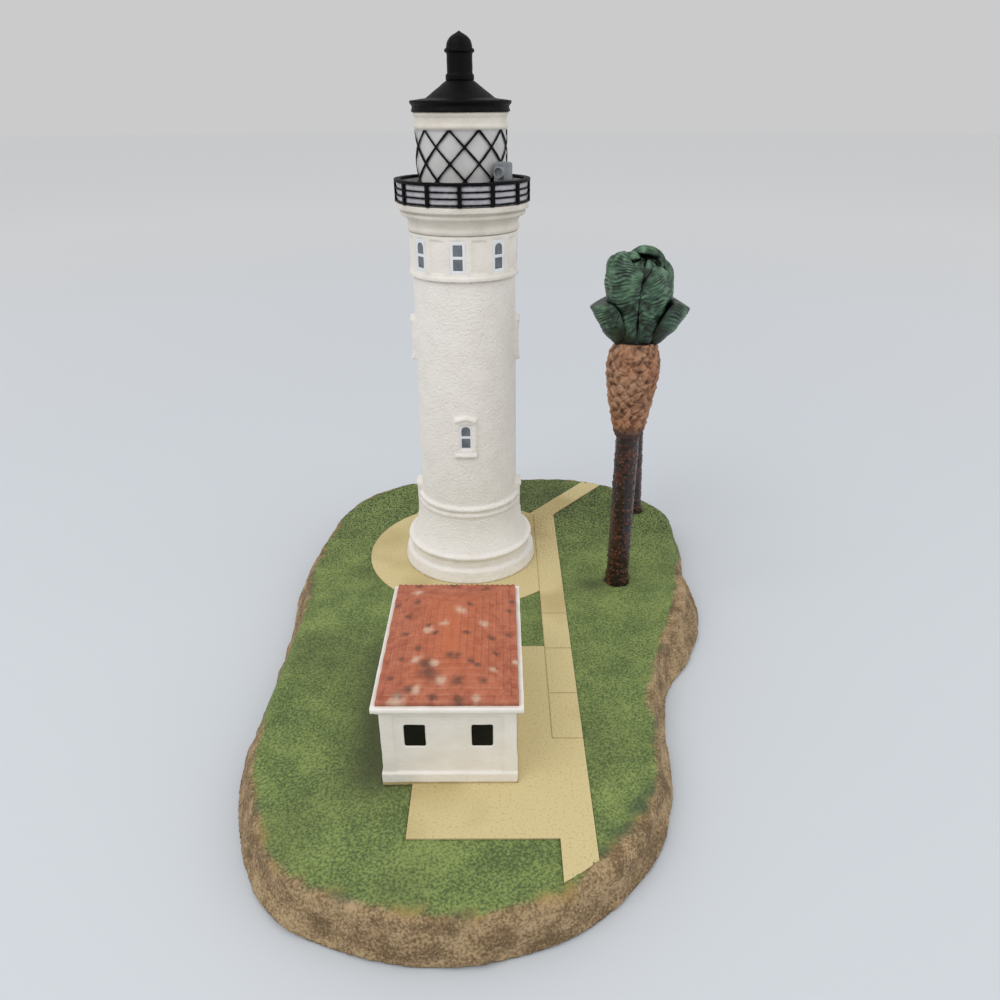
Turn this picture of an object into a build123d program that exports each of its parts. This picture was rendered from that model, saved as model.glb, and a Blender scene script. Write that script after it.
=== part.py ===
from build123d import *
import math
import os

# A collectible cast-resin lighthouse: white tower, keeper's house and two palms on a rocky lawn.
# Millimetres, +Z up, +X to the right and +Y away from the viewer.
# The origin is on the table under the middle of the base.

# Fits between separately cast pieces
GLUE_GAP = 0.1  # room for glue round every spigot and behind every sleeve

# Base casting
BASE_WIDTH = 146.0
BASE_LENGTH = 224.0
BASE_UNDERSIDE = 0.2  # the felt stands this far proud of the rock
LAWN_TOP = 12.5
NEAR_REACH = 80.0  # from the near end to the broad far part that carries the tower
FAR_CORNER = 50.0
NEAR_RADIUS = BASE_WIDTH / 2 - 13.0  # round near end that carries the house
WAIST_RADIUS = 40.0
LAWN_LEFT_INSET = 6.2
LAWN_RIGHT_INSET = 6.0
LAWN_NEAR_INSET = 2.2
LAWN_FAR_INSET = 4.0
LAWN_NEAR_RADIUS = NEAR_RADIUS - 5.5
LAWN_CORNER = FAR_CORNER - 5.0
LAWN_WAIST_RADIUS = 60.0
LAWN_RIM = 1.6  # rounding between lawn and rock

# Felt pad let into the underside
FELT_THICKNESS = 1.0
FELT_MARGIN = 6.0

# Paving on the lawn: plaza, walk and joints placed from the tower, terrace and yard from the house
PATH_RISE = 0.5
PLAZA_RADIUS = 38.0
WALK_WIDTH = 8.4
WALK_RIGHT = 33.6
WALK_FAR = 29.0
TERRACE_LEFT = -11.0
TERRACE_NEAR = -42.2
YARD_FAR = 30.4
SPUR_WIDTH = 8.1
SPUR_ANGLE = 51.0
SPUR_ROOT = 9.0  # the spur starts this far inside the plaza
JOINT_WIDTH = 0.35
JOINT_DEPTH = 0.2
JOINT_ROWS = (-42.4, -61.4, -82.5, -100.7)

# Tower, its heights measured from the paving
TOWER_X = -12.0
TOWER_Y = BASE_LENGTH / 2 - 69.0
SPIGOT_RADIUS = 11.0
SPIGOT_DEPTH = 6.0
TENON_HEIGHT = 3.0  # spigots between the storeys
FOOT_RADIUS = 24.5
FOOT_TOP_RADIUS = 23.8
FOOT_HEIGHT = 4.6
FOOT_ROUND = 0.7
PLINTH_RADIUS = 22.3
PLINTH_BEAD = 0.8
PLINTH_TOP = 9.9
FLARE_FOOT_RADIUS = 21.8
FLARE_TOP_RADIUS = 18.0
FLARE_TOP = 23.4
BELT_PROUD = 0.4
BELT_HEIGHT = 1.0
RING_FOOT = 25.2
RING_HEIGHT = 1.8
RING_PROUD = 1.0
SHAFT_FOOT_RADIUS = 17.3
SHAFT_TOP_RADIUS = 16.6
SHAFT_TOP = 104.5

# Shaft windows: a flat surround with a gabled hood, a sill and two sashes
SURROUND_WIDTH = 7.5
SURROUND_HEIGHT = 14.6
SURROUND_PROUD = 0.4
SURROUND_ROOT = 3.0  # how deep the surround runs into the shaft
GABLE_RISE = 1.1
HOOD_HEIGHT = 0.9
SILL_HEIGHT = 1.1
SILL_PROUD = 0.5  # the hood and the sill stand out this far from the surround
SASH_WIDTH = 4.8
SASH_HEIGHT = 9.0
SASH_RECESS = 0.4
PANE_WIDTH = 2.9
PANE_HEIGHT = 3.3
PANE_BAR = 0.9  # bar between the upper and the lower pane
PANE_RECESS = 0.5
FRONT_WINDOW_HEIGHT = 53.6
LOW_WINDOW_HEIGHT = 24.0
HIGH_WINDOW_HEIGHT = 83.8

# Watch room under the gallery
ROOM_HEIGHT = 13.5
ROOM_RADIUS = 17.3
ROOM_LIP_PROUD = 0.4
ROOM_LIP = 1.3
ROOM_BAYS = 8  # windows round the room, with a blind panel between each two
ROOM_TURN = -94.0  # direction of the first window
BAY_HEIGHT = 10.0
BAY_WIDTH = 4.9
BAY_RECESS = 0.45
BAY_SILL = 2.2
ROOM_PANE_WIDTH = 2.9
ROOM_PANE_HEIGHT = 3.3
ROOM_PANE_BAR = 0.9

# Gallery cornice, parapet and railing
CORNICE_HEIGHT = 8.3
CORNICE_BEAD_HEIGHT = 2.1
CORNICE_BEAD_PROUD = 0.5
COVE_HEIGHT = 2.3
COVE_PROUD = 1.5
NOSE_HEIGHT = 1.8
NOSE_PROUD = 0.9
GALLERY_RADIUS = 20.6
FASCIA_HEIGHT = 1.8
PARAPET_RADIUS = 20.2
PARAPET_WALL = 0.9
PARAPET_HEIGHT = 5.9
RAIL_COUNT = 3
RAIL_FOOT = 0.3
RAIL_PITCH = 1.8
RAIL_HEIGHT = 0.6
RAIL_PROUD = 0.6
CAP_RAIL_HEIGHT = 0.9
CAP_RAIL_LAP = 0.2  # overhang of the cap rail inside the parapet
POST_COUNT = 13
POST_WIDTH = 1.2
POST_PROUD = 0.9
POST_TURN = -90.0  # one post stands at the very front

# Lantern
LANTERN_RADIUS = 13.5
GLAZING_HEIGHT = 20.3
FRIEZE_HEIGHT = 4.6
FRIEZE_PROUD = 0.3
FRIEZE_BEAD_HEIGHT = 1.6
FRIEZE_BEAD_PROUD = 0.8
FRIEZE_CAP_HEIGHT = 0.9
FRIEZE_CAP_PROUD = 0.8
LATTICE_COUNT = 10  # diamonds round the lantern
DIAMOND_HEIGHT = 9.0
LATTICE_BAR = 0.75
LATTICE_PROUD = 0.6
LATTICE_TURN = -84.0  # direction of a half diamond under the frieze

# Lantern roof and vent
EAVE_RADIUS = 15.2
EAVE_FOOT_RADIUS = 14.9
EAVE_NECK_RADIUS = 14.4
EAVE_HEIGHT = 3.0
EAVE_LIP = 0.6
ROOF_FOOT_RADIUS = 10.4
ROOF_RISE = 5.2
VENT_COLLAR_RADIUS = 4.2
VENT_COLLAR = 1.6
VENT_RADIUS = 3.75
VENT_STACK = 5.6
VENT_CAP_RADIUS = 4.35
VENT_CAP = 0.9
VENT_DOME_RADIUS = 3.8
VENT_DOME = 4.7
VENT_TENON_RADIUS = 2.2
VENT_TENON = 2.0

# Fog signal on the gallery
SIGNAL_ANGLE = -41.0  # its direction from the tower's axis
SIGNAL_RADIUS = 16.7
SIGNAL_SIZE = 4.0
SIGNAL_HEIGHT = 5.4
SIGNAL_STAND = 6.4
SIGNAL_STAND_WIDTH = 2.4
SIGNAL_CHAMFER = 0.4
HORN_ANGLE = -115.0  # the way the horn points
HORN_RADIUS = 1.7
HORN_THROAT_RADIUS = 1.0
HORN_LENGTH = 3.6
HORN_BORE_RADIUS = 1.2
HORN_BORE_DEPTH = 1.0

# Keeper's house, its heights measured from the paving
HOUSE_X = -13.5
HOUSE_Y = 64.2 - BASE_LENGTH / 2
HOUSE_WIDTH = 33.4
HOUSE_LENGTH = 50.0
HOUSE_SEAT = 0.5  # the walls stand this deep in the lawn
WALL_TOP = 22.9
HOUSE_PLINTH = 3.1
HOUSE_PLINTH_PROUD = 0.4
PILASTER_WIDTH = 3.2
WALL_BAND = 1.4  # flat band left above the sunk wall panels
PANEL_RECESS = 0.35
HOUSE_WINDOW_WIDTH = 5.2
HOUSE_WINDOW_HEIGHT = 6.8
HOUSE_WINDOW_SILL = 11.6
HOUSE_WINDOW_DEPTH = 1.6
END_WINDOWS = 2
END_WINDOW_SPACING = 16.6
SIDE_WINDOWS = 3
SIDE_WINDOW_SPACING = 14.0
WALL_TENON = 1.2
WALL_TENON_MARGIN = 5.0
HOUSE_CORNICE = 2.3
CORNICE_OVERHANG = 1.7
CORNICE_STEP = 0.8

# Tiled hip roof
TILE_MARGIN = 1.2  # the cornice shows this much outside the tiles
TILE_EDGE = 1.2  # thickness of the tiles at the eaves
TILE_COURSES = 9
COURSE_LIP = 0.25
COURSE_SLOPE = 0.2
RIDGE_WIDTH = 0.8

# Palms, their heights measured from the lawn
FRONT_PALM_X = BASE_WIDTH / 2 - 31.7
FRONT_PALM_Y = BASE_LENGTH / 2 - 91.0
FRONT_TRUNK_HEIGHT = 57.0
REAR_PALM_X = BASE_WIDTH / 2 - 18.0
REAR_PALM_Y = BASE_LENGTH / 2 - 36.0
REAR_TRUNK_HEIGHT = 46.0
REAR_PALM_LEAN = -2.8
TRUNK_FOOT_RADIUS = 4.5
TRUNK_FOOT_FLARE = 8.0
TRUNK_RADIUS = 3.9
BOOT_HEIGHT = 31.0
BOOT_FOOT_RADIUS = 4.5
BOOT_RADIUS = 8.4
BOOT_BELLY = 22.0  # height of the widest part above the trunk
BOOT_NECK_RADIUS = 5.4
HEART_RADIUS = 4.6
HEART_TOP_RADIUS = 3.0
HEART_HEIGHT = 16.0
PIN_RADIUS = 0.9
PIN_IN_BASE = 7.0
PIN_IN_CROWN = 6.0
FROND_ROOT = 3.4  # a frond starts this far from the palm's axis
FROND_FOOT = 1.6  # and this far above the boot
FROND_SECTIONS = 6
UPRIGHT_TURNS = (-45.0, 24.0, 88.0, 146.0, 211.0)
UPRIGHT_HEIGHT = 26.5
UPRIGHT_SPREAD = 8.2
UPRIGHT_WIDTH = 13.4
UPRIGHT_THICKNESS = 4.4
UPRIGHT_CUP = 2.6  # the leaf's edges bend in towards the heart
SIDE_FROND_TURNS = (-8.0, 56.0, 120.0, 186.0)
SIDE_FROND_HEIGHT = 12.0
SIDE_FROND_SPREAD = 16.5
SIDE_FROND_WIDTH = 9.6
SIDE_FROND_THICKNESS = 3.6
SIDE_FROND_CUP = -3.4  # the leaf's edges hang down

# Levels and centres that follow from the sizes above
PAVING_TOP = LAWN_TOP + PATH_RISE
ROOM_FOOT = PAVING_TOP + SHAFT_TOP
CORNICE_FOOT = ROOM_FOOT + ROOM_HEIGHT
GALLERY_FLOOR = CORNICE_FOOT + CORNICE_HEIGHT
GLAZING_TOP = GALLERY_FLOOR + GLAZING_HEIGHT
LANTERN_TOP = GLAZING_TOP + FRIEZE_HEIGHT
ROOF_TOP = LANTERN_TOP + EAVE_HEIGHT + ROOF_RISE
HOUSE_FOOT = LAWN_TOP - HOUSE_SEAT
HOUSE_EAVE = PAVING_TOP + WALL_TOP
SOCKET_RADIUS = SPIGOT_RADIUS + GLUE_GAP
PIN_BORE_RADIUS = PIN_RADIUS + GLUE_GAP
TOWER_AXIS = Axis((TOWER_X, TOWER_Y, 0), (0, 0, 1))

os.makedirs("parts", exist_ok=True)


def save(piece, name):
    """Label a finished piece and write it as its own file."""
    piece.part.label = name
    export_step(piece.part, f"parts/{name}.step")


def heading(angle):
    """Level direction at an angle from +X, in degrees."""
    return Vector(math.cos(math.radians(angle)), math.sin(math.radians(angle)), 0)


def around_tower(radius, angle, height):
    """Point at a radius and direction from the tower's axis."""
    return Vector(TOWER_X, TOWER_Y, height) + heading(angle) * radius


def tower_section(level):
    """Upright plane through the tower's axis, its X outwards and its Y up from a level."""
    return Plane((TOWER_X, TOWER_Y, level), x_dir=(1, 0, 0), z_dir=(0, -1, 0))


def tower_side(angle, radius, height):
    """Upright plane that faces out from the tower's axis, its Y up."""
    return Plane(around_tower(radius, angle, height), x_dir=heading(angle + 90), z_dir=heading(angle))


def mound_outline(plan, left, right, near, far, far_front, corner, near_radius, waist):
    """Plan of the mound: a broad rounded far part, a round near end and a hollow waist on the right."""
    near_centre = Vector(left + near_radius, near + near_radius)
    corner_centre = Vector(right - corner, far_front + corner)
    with Locations(((left + right) / 2, (far_front + far) / 2)):
        RectangleRounded(right - left, far - far_front, corner)
    with Locations((near_centre.X, near_centre.Y)):
        Circle(near_radius)
    with Locations((left, near_centre.Y)):
        Rectangle(near_radius, far - corner - near_centre.Y, align=(Align.MIN, Align.MIN))
    span = corner_centre - near_centre
    along = (span.length**2 + near_radius**2 - corner**2) / (2 * span.length)
    aside = math.sqrt(near_radius**2 - along**2)
    way = span.normalized()
    notch = near_centre + way * along + Vector(way.Y, -way.X) * aside
    fillet(plan.vertices().sort_by_distance(notch)[0], waist)


def house_plan(margin, mode=Mode.ADD):
    """Rectangle of the house's walls, grown by a margin on every side."""
    with Locations((HOUSE_X, HOUSE_Y)):
        Rectangle(HOUSE_WIDTH + 2 * margin, HOUSE_LENGTH + 2 * margin, mode=mode)


def palm_frame(x, y, lean):
    """Plane at a palm's foot whose Z runs up the trunk, leaning in the X direction."""
    tilt = math.radians(lean)
    return Plane(
        origin=(x, y, LAWN_TOP),
        x_dir=(math.cos(tilt), 0, -math.sin(tilt)),
        z_dir=(math.sin(tilt), 0, math.cos(tilt)),
    )


FRONT_PALM = palm_frame(FRONT_PALM_X, FRONT_PALM_Y, 0)
REAR_PALM = palm_frame(REAR_PALM_X, REAR_PALM_Y, REAR_PALM_LEAN)

# Base casting: rock skirt, lawn and raised paving, with sockets for what stands on it
far_front = NEAR_REACH - BASE_LENGTH / 2
walk_right = TOWER_X + WALK_RIGHT
with BuildPart() as base_casting:
    with BuildSketch(Plane.XY.offset(BASE_UNDERSIDE)) as rock_plan:
        mound_outline(
            rock_plan, -BASE_WIDTH / 2, BASE_WIDTH / 2, -BASE_LENGTH / 2, BASE_LENGTH / 2,
            far_front, FAR_CORNER, NEAR_RADIUS, WAIST_RADIUS,
        )
    with BuildSketch(Plane.XY.offset(LAWN_TOP)) as lawn_plan:
        mound_outline(
            lawn_plan, -BASE_WIDTH / 2 + LAWN_LEFT_INSET, BASE_WIDTH / 2 - LAWN_RIGHT_INSET,
            -BASE_LENGTH / 2 + LAWN_NEAR_INSET, BASE_LENGTH / 2 - LAWN_FAR_INSET,
            far_front + FAR_CORNER - LAWN_CORNER, LAWN_CORNER, LAWN_NEAR_RADIUS, LAWN_WAIST_RADIUS,
        )
    loft(ruled=True)
    fillet(base_casting.faces().sort_by(Axis.Z)[-1].edges(), LAWN_RIM)

    # Plaza round the tower, walk, terrace and yard by the house, and a spur, all ending at the lawn's rim
    with BuildSketch(Plane.XY.offset(LAWN_TOP)):
        with Locations((TOWER_X, TOWER_Y)):
            Circle(PLAZA_RADIUS)
        with Locations((walk_right, TOWER_Y)):
            Rectangle(PLAZA_RADIUS, 2 * PLAZA_RADIUS, align=(Align.MIN, Align.CENTER), mode=Mode.SUBTRACT)
        with Locations((walk_right, TOWER_Y + WALK_FAR)):
            Rectangle(WALK_WIDTH, BASE_LENGTH, align=(Align.MAX, Align.MAX))
        with Locations((walk_right, HOUSE_Y + TERRACE_NEAR)):
            Rectangle(WALK_RIGHT - TERRACE_LEFT, -TERRACE_NEAR, align=(Align.MAX, Align.MIN))
            Rectangle(walk_right - HOUSE_X, YARD_FAR - TERRACE_NEAR, align=(Align.MAX, Align.MIN))
        with Locations(Location((walk_right, TOWER_Y + WALK_FAR, 0), SPUR_ANGLE)):
            with Locations((-SPUR_ROOT, 0)):
                Rectangle(BASE_WIDTH, SPUR_WIDTH, align=(Align.MIN, Align.MIN))
        house_plan(HOUSE_PLINTH_PROUD + GLUE_GAP, mode=Mode.SUBTRACT)
        offset(lawn_plan.sketch_local, amount=-LAWN_RIM, mode=Mode.INTERSECT)
    extrude(amount=PATH_RISE)

    # Joints scored in the walk: one along its left edge and one across it at each row
    with BuildSketch(Plane.XY.offset(PAVING_TOP)):
        with Locations((walk_right - WALK_WIDTH, TOWER_Y + WALK_FAR)):
            Rectangle(JOINT_WIDTH, WALK_FAR - JOINT_ROWS[-1], align=(Align.CENTER, Align.MAX))
        with Locations([(walk_right, TOWER_Y + row) for row in JOINT_ROWS]):
            Rectangle(WALK_WIDTH, JOINT_WIDTH, align=(Align.MAX, Align.CENTER))
    extrude(amount=-JOINT_DEPTH, mode=Mode.SUBTRACT)

    # Socket for the tower, seat for the house and the recess for the felt
    with BuildSketch(Plane.XY.offset(PAVING_TOP)):
        with Locations((TOWER_X, TOWER_Y)):
            Circle(SOCKET_RADIUS)
    extrude(amount=-SPIGOT_DEPTH - GLUE_GAP, mode=Mode.SUBTRACT)
    with BuildSketch(Plane.XY.offset(HOUSE_FOOT)):
        house_plan(HOUSE_PLINTH_PROUD + GLUE_GAP)
    extrude(amount=HOUSE_SEAT, mode=Mode.SUBTRACT)
    with BuildSketch(Plane.XY.offset(BASE_UNDERSIDE)):
        offset(rock_plan.sketch_local, amount=GLUE_GAP - FELT_MARGIN)
    extrude(amount=FELT_THICKNESS - BASE_UNDERSIDE, mode=Mode.SUBTRACT)

    # Holes for the palms' pins, cut from below up through the lawn
    with BuildSketch(FRONT_PALM.offset(-PIN_IN_BASE - GLUE_GAP), REAR_PALM.offset(-PIN_IN_BASE - GLUE_GAP)):
        Circle(PIN_BORE_RADIUS)
    extrude(amount=PIN_IN_BASE + LAWN_TOP, mode=Mode.SUBTRACT)
save(base_casting, "base_casting")

# Felt pad under the base
with BuildPart() as felt_pad:
    with BuildSketch():
        offset(rock_plan.sketch_local, amount=-FELT_MARGIN)
    extrude(amount=FELT_THICKNESS)
save(felt_pad, "felt_pad")

# Tower shaft: moulded foot, flared plinth, belt, half-round ring and tapered shaft
with BuildPart() as tower_shaft:
    with BuildSketch(tower_section(PAVING_TOP)):
        with BuildLine():
            Polyline(
                (0, SHAFT_TOP + TENON_HEIGHT), (0, -SPIGOT_DEPTH), (SPIGOT_RADIUS, -SPIGOT_DEPTH),
                (SPIGOT_RADIUS, 0), (FOOT_RADIUS, 0), (FOOT_TOP_RADIUS, FOOT_HEIGHT - FOOT_ROUND),
            )
            foot_top = (FOOT_TOP_RADIUS - FOOT_ROUND, FOOT_HEIGHT)
            TangentArc((FOOT_TOP_RADIUS, FOOT_HEIGHT - FOOT_ROUND), foot_top, tangent=(0, 1))
            bead_foot = (PLINTH_RADIUS, PLINTH_TOP - 2 * PLINTH_BEAD)
            bead_nose = (PLINTH_RADIUS + PLINTH_BEAD, PLINTH_TOP - PLINTH_BEAD)
            Polyline(foot_top, (PLINTH_RADIUS, FOOT_HEIGHT), bead_foot)
            ThreePointArc(bead_foot, bead_nose, (PLINTH_RADIUS, PLINTH_TOP))
            Line((PLINTH_RADIUS, PLINTH_TOP), (FLARE_FOOT_RADIUS, PLINTH_TOP))
            TangentArc((FLARE_TOP_RADIUS, FLARE_TOP), (FLARE_FOOT_RADIUS, PLINTH_TOP), tangent=(0, -1))
            Polyline(
                (FLARE_TOP_RADIUS, FLARE_TOP), (FLARE_TOP_RADIUS + BELT_PROUD, FLARE_TOP),
                (FLARE_TOP_RADIUS + BELT_PROUD, FLARE_TOP + BELT_HEIGHT),
                (SHAFT_FOOT_RADIUS, FLARE_TOP + BELT_HEIGHT), (SHAFT_FOOT_RADIUS, RING_FOOT),
            )
            ThreePointArc(
                (SHAFT_FOOT_RADIUS, RING_FOOT),
                (SHAFT_FOOT_RADIUS + RING_PROUD, RING_FOOT + RING_HEIGHT / 2),
                (SHAFT_FOOT_RADIUS, RING_FOOT + RING_HEIGHT),
            )
            Polyline(
                (SHAFT_FOOT_RADIUS, RING_FOOT + RING_HEIGHT), (SHAFT_TOP_RADIUS, SHAFT_TOP),
                (SPIGOT_RADIUS, SHAFT_TOP), (SPIGOT_RADIUS, SHAFT_TOP + TENON_HEIGHT),
                (0, SHAFT_TOP + TENON_HEIGHT),
            )
        make_face()
    revolve(axis=TOWER_AXIS)

    # One window in front and one behind, two on each side; the low ones stand on the wider foot
    shaft_face = SHAFT_FOOT_RADIUS + SURROUND_PROUD
    foot_face = FLARE_TOP_RADIUS + BELT_PROUD + SURROUND_PROUD / 2
    window_walls = [tower_side(angle, shaft_face, PAVING_TOP + FRONT_WINDOW_HEIGHT) for angle in (-90, 90)]
    window_walls += [tower_side(angle, shaft_face, PAVING_TOP + HIGH_WINDOW_HEIGHT) for angle in (0, 180)]
    window_walls += [tower_side(angle, foot_face, PAVING_TOP + LOW_WINDOW_HEIGHT) for angle in (0, 180)]
    with BuildSketch(*window_walls):
        with BuildLine():
            Polyline(
                (-SURROUND_WIDTH / 2, -SURROUND_HEIGHT / 2), (SURROUND_WIDTH / 2, -SURROUND_HEIGHT / 2),
                (SURROUND_WIDTH / 2, SURROUND_HEIGHT / 2 - GABLE_RISE), (0, SURROUND_HEIGHT / 2),
                (-SURROUND_WIDTH / 2, SURROUND_HEIGHT / 2 - GABLE_RISE), close=True,
            )
        make_face()
    extrude(amount=-SURROUND_ROOT)
    with BuildSketch(*[wall.offset(SILL_PROUD) for wall in window_walls]):
        with Locations((0, -SURROUND_HEIGHT / 2)):
            Rectangle(SURROUND_WIDTH, SILL_HEIGHT, align=(Align.CENTER, Align.MIN))
        with BuildLine():
            eave = SURROUND_HEIGHT / 2 - GABLE_RISE
            Polyline(
                (SURROUND_WIDTH / 2, eave), (0, SURROUND_HEIGHT / 2), (-SURROUND_WIDTH / 2, eave),
                (-SURROUND_WIDTH / 2, eave - HOOD_HEIGHT), (0, SURROUND_HEIGHT / 2 - HOOD_HEIGHT),
                (SURROUND_WIDTH / 2, eave - HOOD_HEIGHT), close=True,
            )
        make_face()
    extrude(amount=-SURROUND_ROOT)
    with BuildSketch(*window_walls):
        Rectangle(SASH_WIDTH, SASH_HEIGHT)
    extrude(amount=-SASH_RECESS, mode=Mode.SUBTRACT)
    with BuildSketch(*[wall.offset(-SASH_RECESS) for wall in window_walls]):
        with GridLocations(0, PANE_HEIGHT + PANE_BAR, 1, 2):
            Rectangle(PANE_WIDTH, PANE_HEIGHT)
    extrude(amount=-PANE_RECESS, mode=Mode.SUBTRACT)
save(tower_shaft, "tower_shaft")

# Watch room: a drum of windows and blind panels under the gallery
with BuildPart() as watch_room:
    with BuildSketch(tower_section(ROOM_FOOT)):
        with BuildLine():
            Polyline(
                (0, TENON_HEIGHT + GLUE_GAP), (SOCKET_RADIUS, TENON_HEIGHT + GLUE_GAP), (SOCKET_RADIUS, 0),
                (ROOM_RADIUS + ROOM_LIP_PROUD, 0), (ROOM_RADIUS + ROOM_LIP_PROUD, ROOM_LIP),
                (ROOM_RADIUS, ROOM_LIP), (ROOM_RADIUS, ROOM_HEIGHT), (SPIGOT_RADIUS, ROOM_HEIGHT),
                (SPIGOT_RADIUS, ROOM_HEIGHT + TENON_HEIGHT), (0, ROOM_HEIGHT + TENON_HEIGHT), close=True,
            )
        make_face()
    revolve(axis=TOWER_AXIS)
    bay_turn = 360 / ROOM_BAYS
    bay_middle = ROOM_FOOT + BAY_SILL + BAY_HEIGHT / 2
    window_turns = [ROOM_TURN + bay_turn * bay for bay in range(ROOM_BAYS)]
    room_windows = [tower_side(turn, ROOM_RADIUS, bay_middle) for turn in window_turns]
    blind_panels = [tower_side(turn + bay_turn / 2, ROOM_RADIUS, bay_middle) for turn in window_turns]
    with BuildSketch(*room_windows, *blind_panels):
        Rectangle(BAY_WIDTH, BAY_HEIGHT)
    extrude(amount=-BAY_RECESS, mode=Mode.SUBTRACT)
    with BuildSketch(*[wall.offset(-BAY_RECESS) for wall in room_windows]):
        with GridLocations(0, ROOM_PANE_HEIGHT + ROOM_PANE_BAR, 1, 2):
            Rectangle(ROOM_PANE_WIDTH, ROOM_PANE_HEIGHT)
    extrude(amount=-PANE_RECESS, mode=Mode.SUBTRACT)
save(watch_room, "watch_room")

# Gallery cornice: bead, cove, nosing and fascia under the gallery's floor
with BuildPart() as gallery_cornice:
    cove_top = CORNICE_BEAD_HEIGHT + COVE_HEIGHT
    nose_top = cove_top + NOSE_HEIGHT
    cove_radius = ROOM_RADIUS + COVE_PROUD
    with BuildSketch(tower_section(CORNICE_FOOT)):
        with BuildLine():
            Polyline(
                (0, CORNICE_HEIGHT + TENON_HEIGHT), (0, TENON_HEIGHT + GLUE_GAP),
                (SOCKET_RADIUS, TENON_HEIGHT + GLUE_GAP), (SOCKET_RADIUS, 0), (ROOM_RADIUS, 0),
            )
            ThreePointArc(
                (ROOM_RADIUS, 0), (ROOM_RADIUS + CORNICE_BEAD_PROUD, CORNICE_BEAD_HEIGHT / 2),
                (ROOM_RADIUS, CORNICE_BEAD_HEIGHT),
            )
            TangentArc((ROOM_RADIUS, CORNICE_BEAD_HEIGHT), (cove_radius, cove_top), tangent=(0, 1))
            ThreePointArc(
                (cove_radius, cove_top), (cove_radius + NOSE_PROUD, (cove_top + nose_top) / 2),
                (cove_radius, nose_top),
            )
            Polyline(
                (cove_radius, nose_top), (GALLERY_RADIUS, CORNICE_HEIGHT - FASCIA_HEIGHT),
                (GALLERY_RADIUS, CORNICE_HEIGHT), (SPIGOT_RADIUS, CORNICE_HEIGHT),
                (SPIGOT_RADIUS, CORNICE_HEIGHT + TENON_HEIGHT), (0, CORNICE_HEIGHT + TENON_HEIGHT),
            )
        make_face()
    revolve(axis=TOWER_AXIS)
save(gallery_cornice, "gallery_cornice")

# Parapet: the solid band that backs the gallery railing
with BuildPart() as gallery_parapet:
    with BuildSketch(Plane.XY.offset(GALLERY_FLOOR)):
        with Locations((TOWER_X, TOWER_Y)):
            Circle(PARAPET_RADIUS)
            Circle(PARAPET_RADIUS - PARAPET_WALL, mode=Mode.SUBTRACT)
    extrude(amount=PARAPET_HEIGHT)
save(gallery_parapet, "gallery_parapet")

# Railing: rails and posts round the parapet under a cap rail
with BuildPart() as gallery_railing:
    rail_bore = PARAPET_RADIUS + GLUE_GAP
    rail_levels = [GALLERY_FLOOR + RAIL_FOOT + RAIL_PITCH * rail for rail in range(RAIL_COUNT)]
    with BuildSketch(*[Plane.XY.offset(level) for level in rail_levels]):
        with Locations((TOWER_X, TOWER_Y)):
            Circle(PARAPET_RADIUS + RAIL_PROUD)
            Circle(rail_bore, mode=Mode.SUBTRACT)
    extrude(amount=RAIL_HEIGHT)
    with BuildSketch(Plane.XY.offset(GALLERY_FLOOR + PARAPET_HEIGHT)):
        with Locations((TOWER_X, TOWER_Y)):
            Circle(PARAPET_RADIUS + POST_PROUD)
            Circle(PARAPET_RADIUS - PARAPET_WALL - CAP_RAIL_LAP, mode=Mode.SUBTRACT)
    extrude(amount=CAP_RAIL_HEIGHT)
    with BuildSketch(Plane.XY.offset(GALLERY_FLOOR)):
        with Locations((TOWER_X, TOWER_Y)):
            with PolarLocations(0, POST_COUNT, start_angle=POST_TURN):
                Rectangle(PARAPET_RADIUS + POST_PROUD, POST_WIDTH, align=(Align.MIN, Align.CENTER))
            Circle(rail_bore, mode=Mode.SUBTRACT)
    extrude(amount=PARAPET_HEIGHT)
save(gallery_railing, "gallery_railing")

# Lantern: glazed drum with a moulded frieze
with BuildPart() as lantern_drum:
    frieze_radius = LANTERN_RADIUS + FRIEZE_PROUD
    cap_radius = LANTERN_RADIUS + FRIEZE_CAP_PROUD
    with BuildSketch(tower_section(GALLERY_FLOOR)):
        with BuildLine():
            drum_top = GLAZING_HEIGHT + FRIEZE_HEIGHT
            bead_top = GLAZING_HEIGHT + FRIEZE_BEAD_HEIGHT
            Polyline(
                (0, drum_top + TENON_HEIGHT), (0, TENON_HEIGHT + GLUE_GAP),
                (SOCKET_RADIUS, TENON_HEIGHT + GLUE_GAP), (SOCKET_RADIUS, 0), (LANTERN_RADIUS, 0),
                (LANTERN_RADIUS, GLAZING_HEIGHT),
            )
            ThreePointArc(
                (LANTERN_RADIUS, GLAZING_HEIGHT),
                (LANTERN_RADIUS + FRIEZE_BEAD_PROUD, GLAZING_HEIGHT + FRIEZE_BEAD_HEIGHT / 2),
                (LANTERN_RADIUS, bead_top),
            )
            Polyline(
                (LANTERN_RADIUS, bead_top), (frieze_radius, bead_top),
                (frieze_radius, drum_top - FRIEZE_CAP_HEIGHT), (cap_radius, drum_top - FRIEZE_CAP_HEIGHT),
                (cap_radius, drum_top), (SPIGOT_RADIUS, drum_top), (SPIGOT_RADIUS, drum_top + TENON_HEIGHT),
                (0, drum_top + TENON_HEIGHT),
            )
        make_face()
    revolve(axis=TOWER_AXIS)
save(lantern_drum, "lantern_drum")

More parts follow.
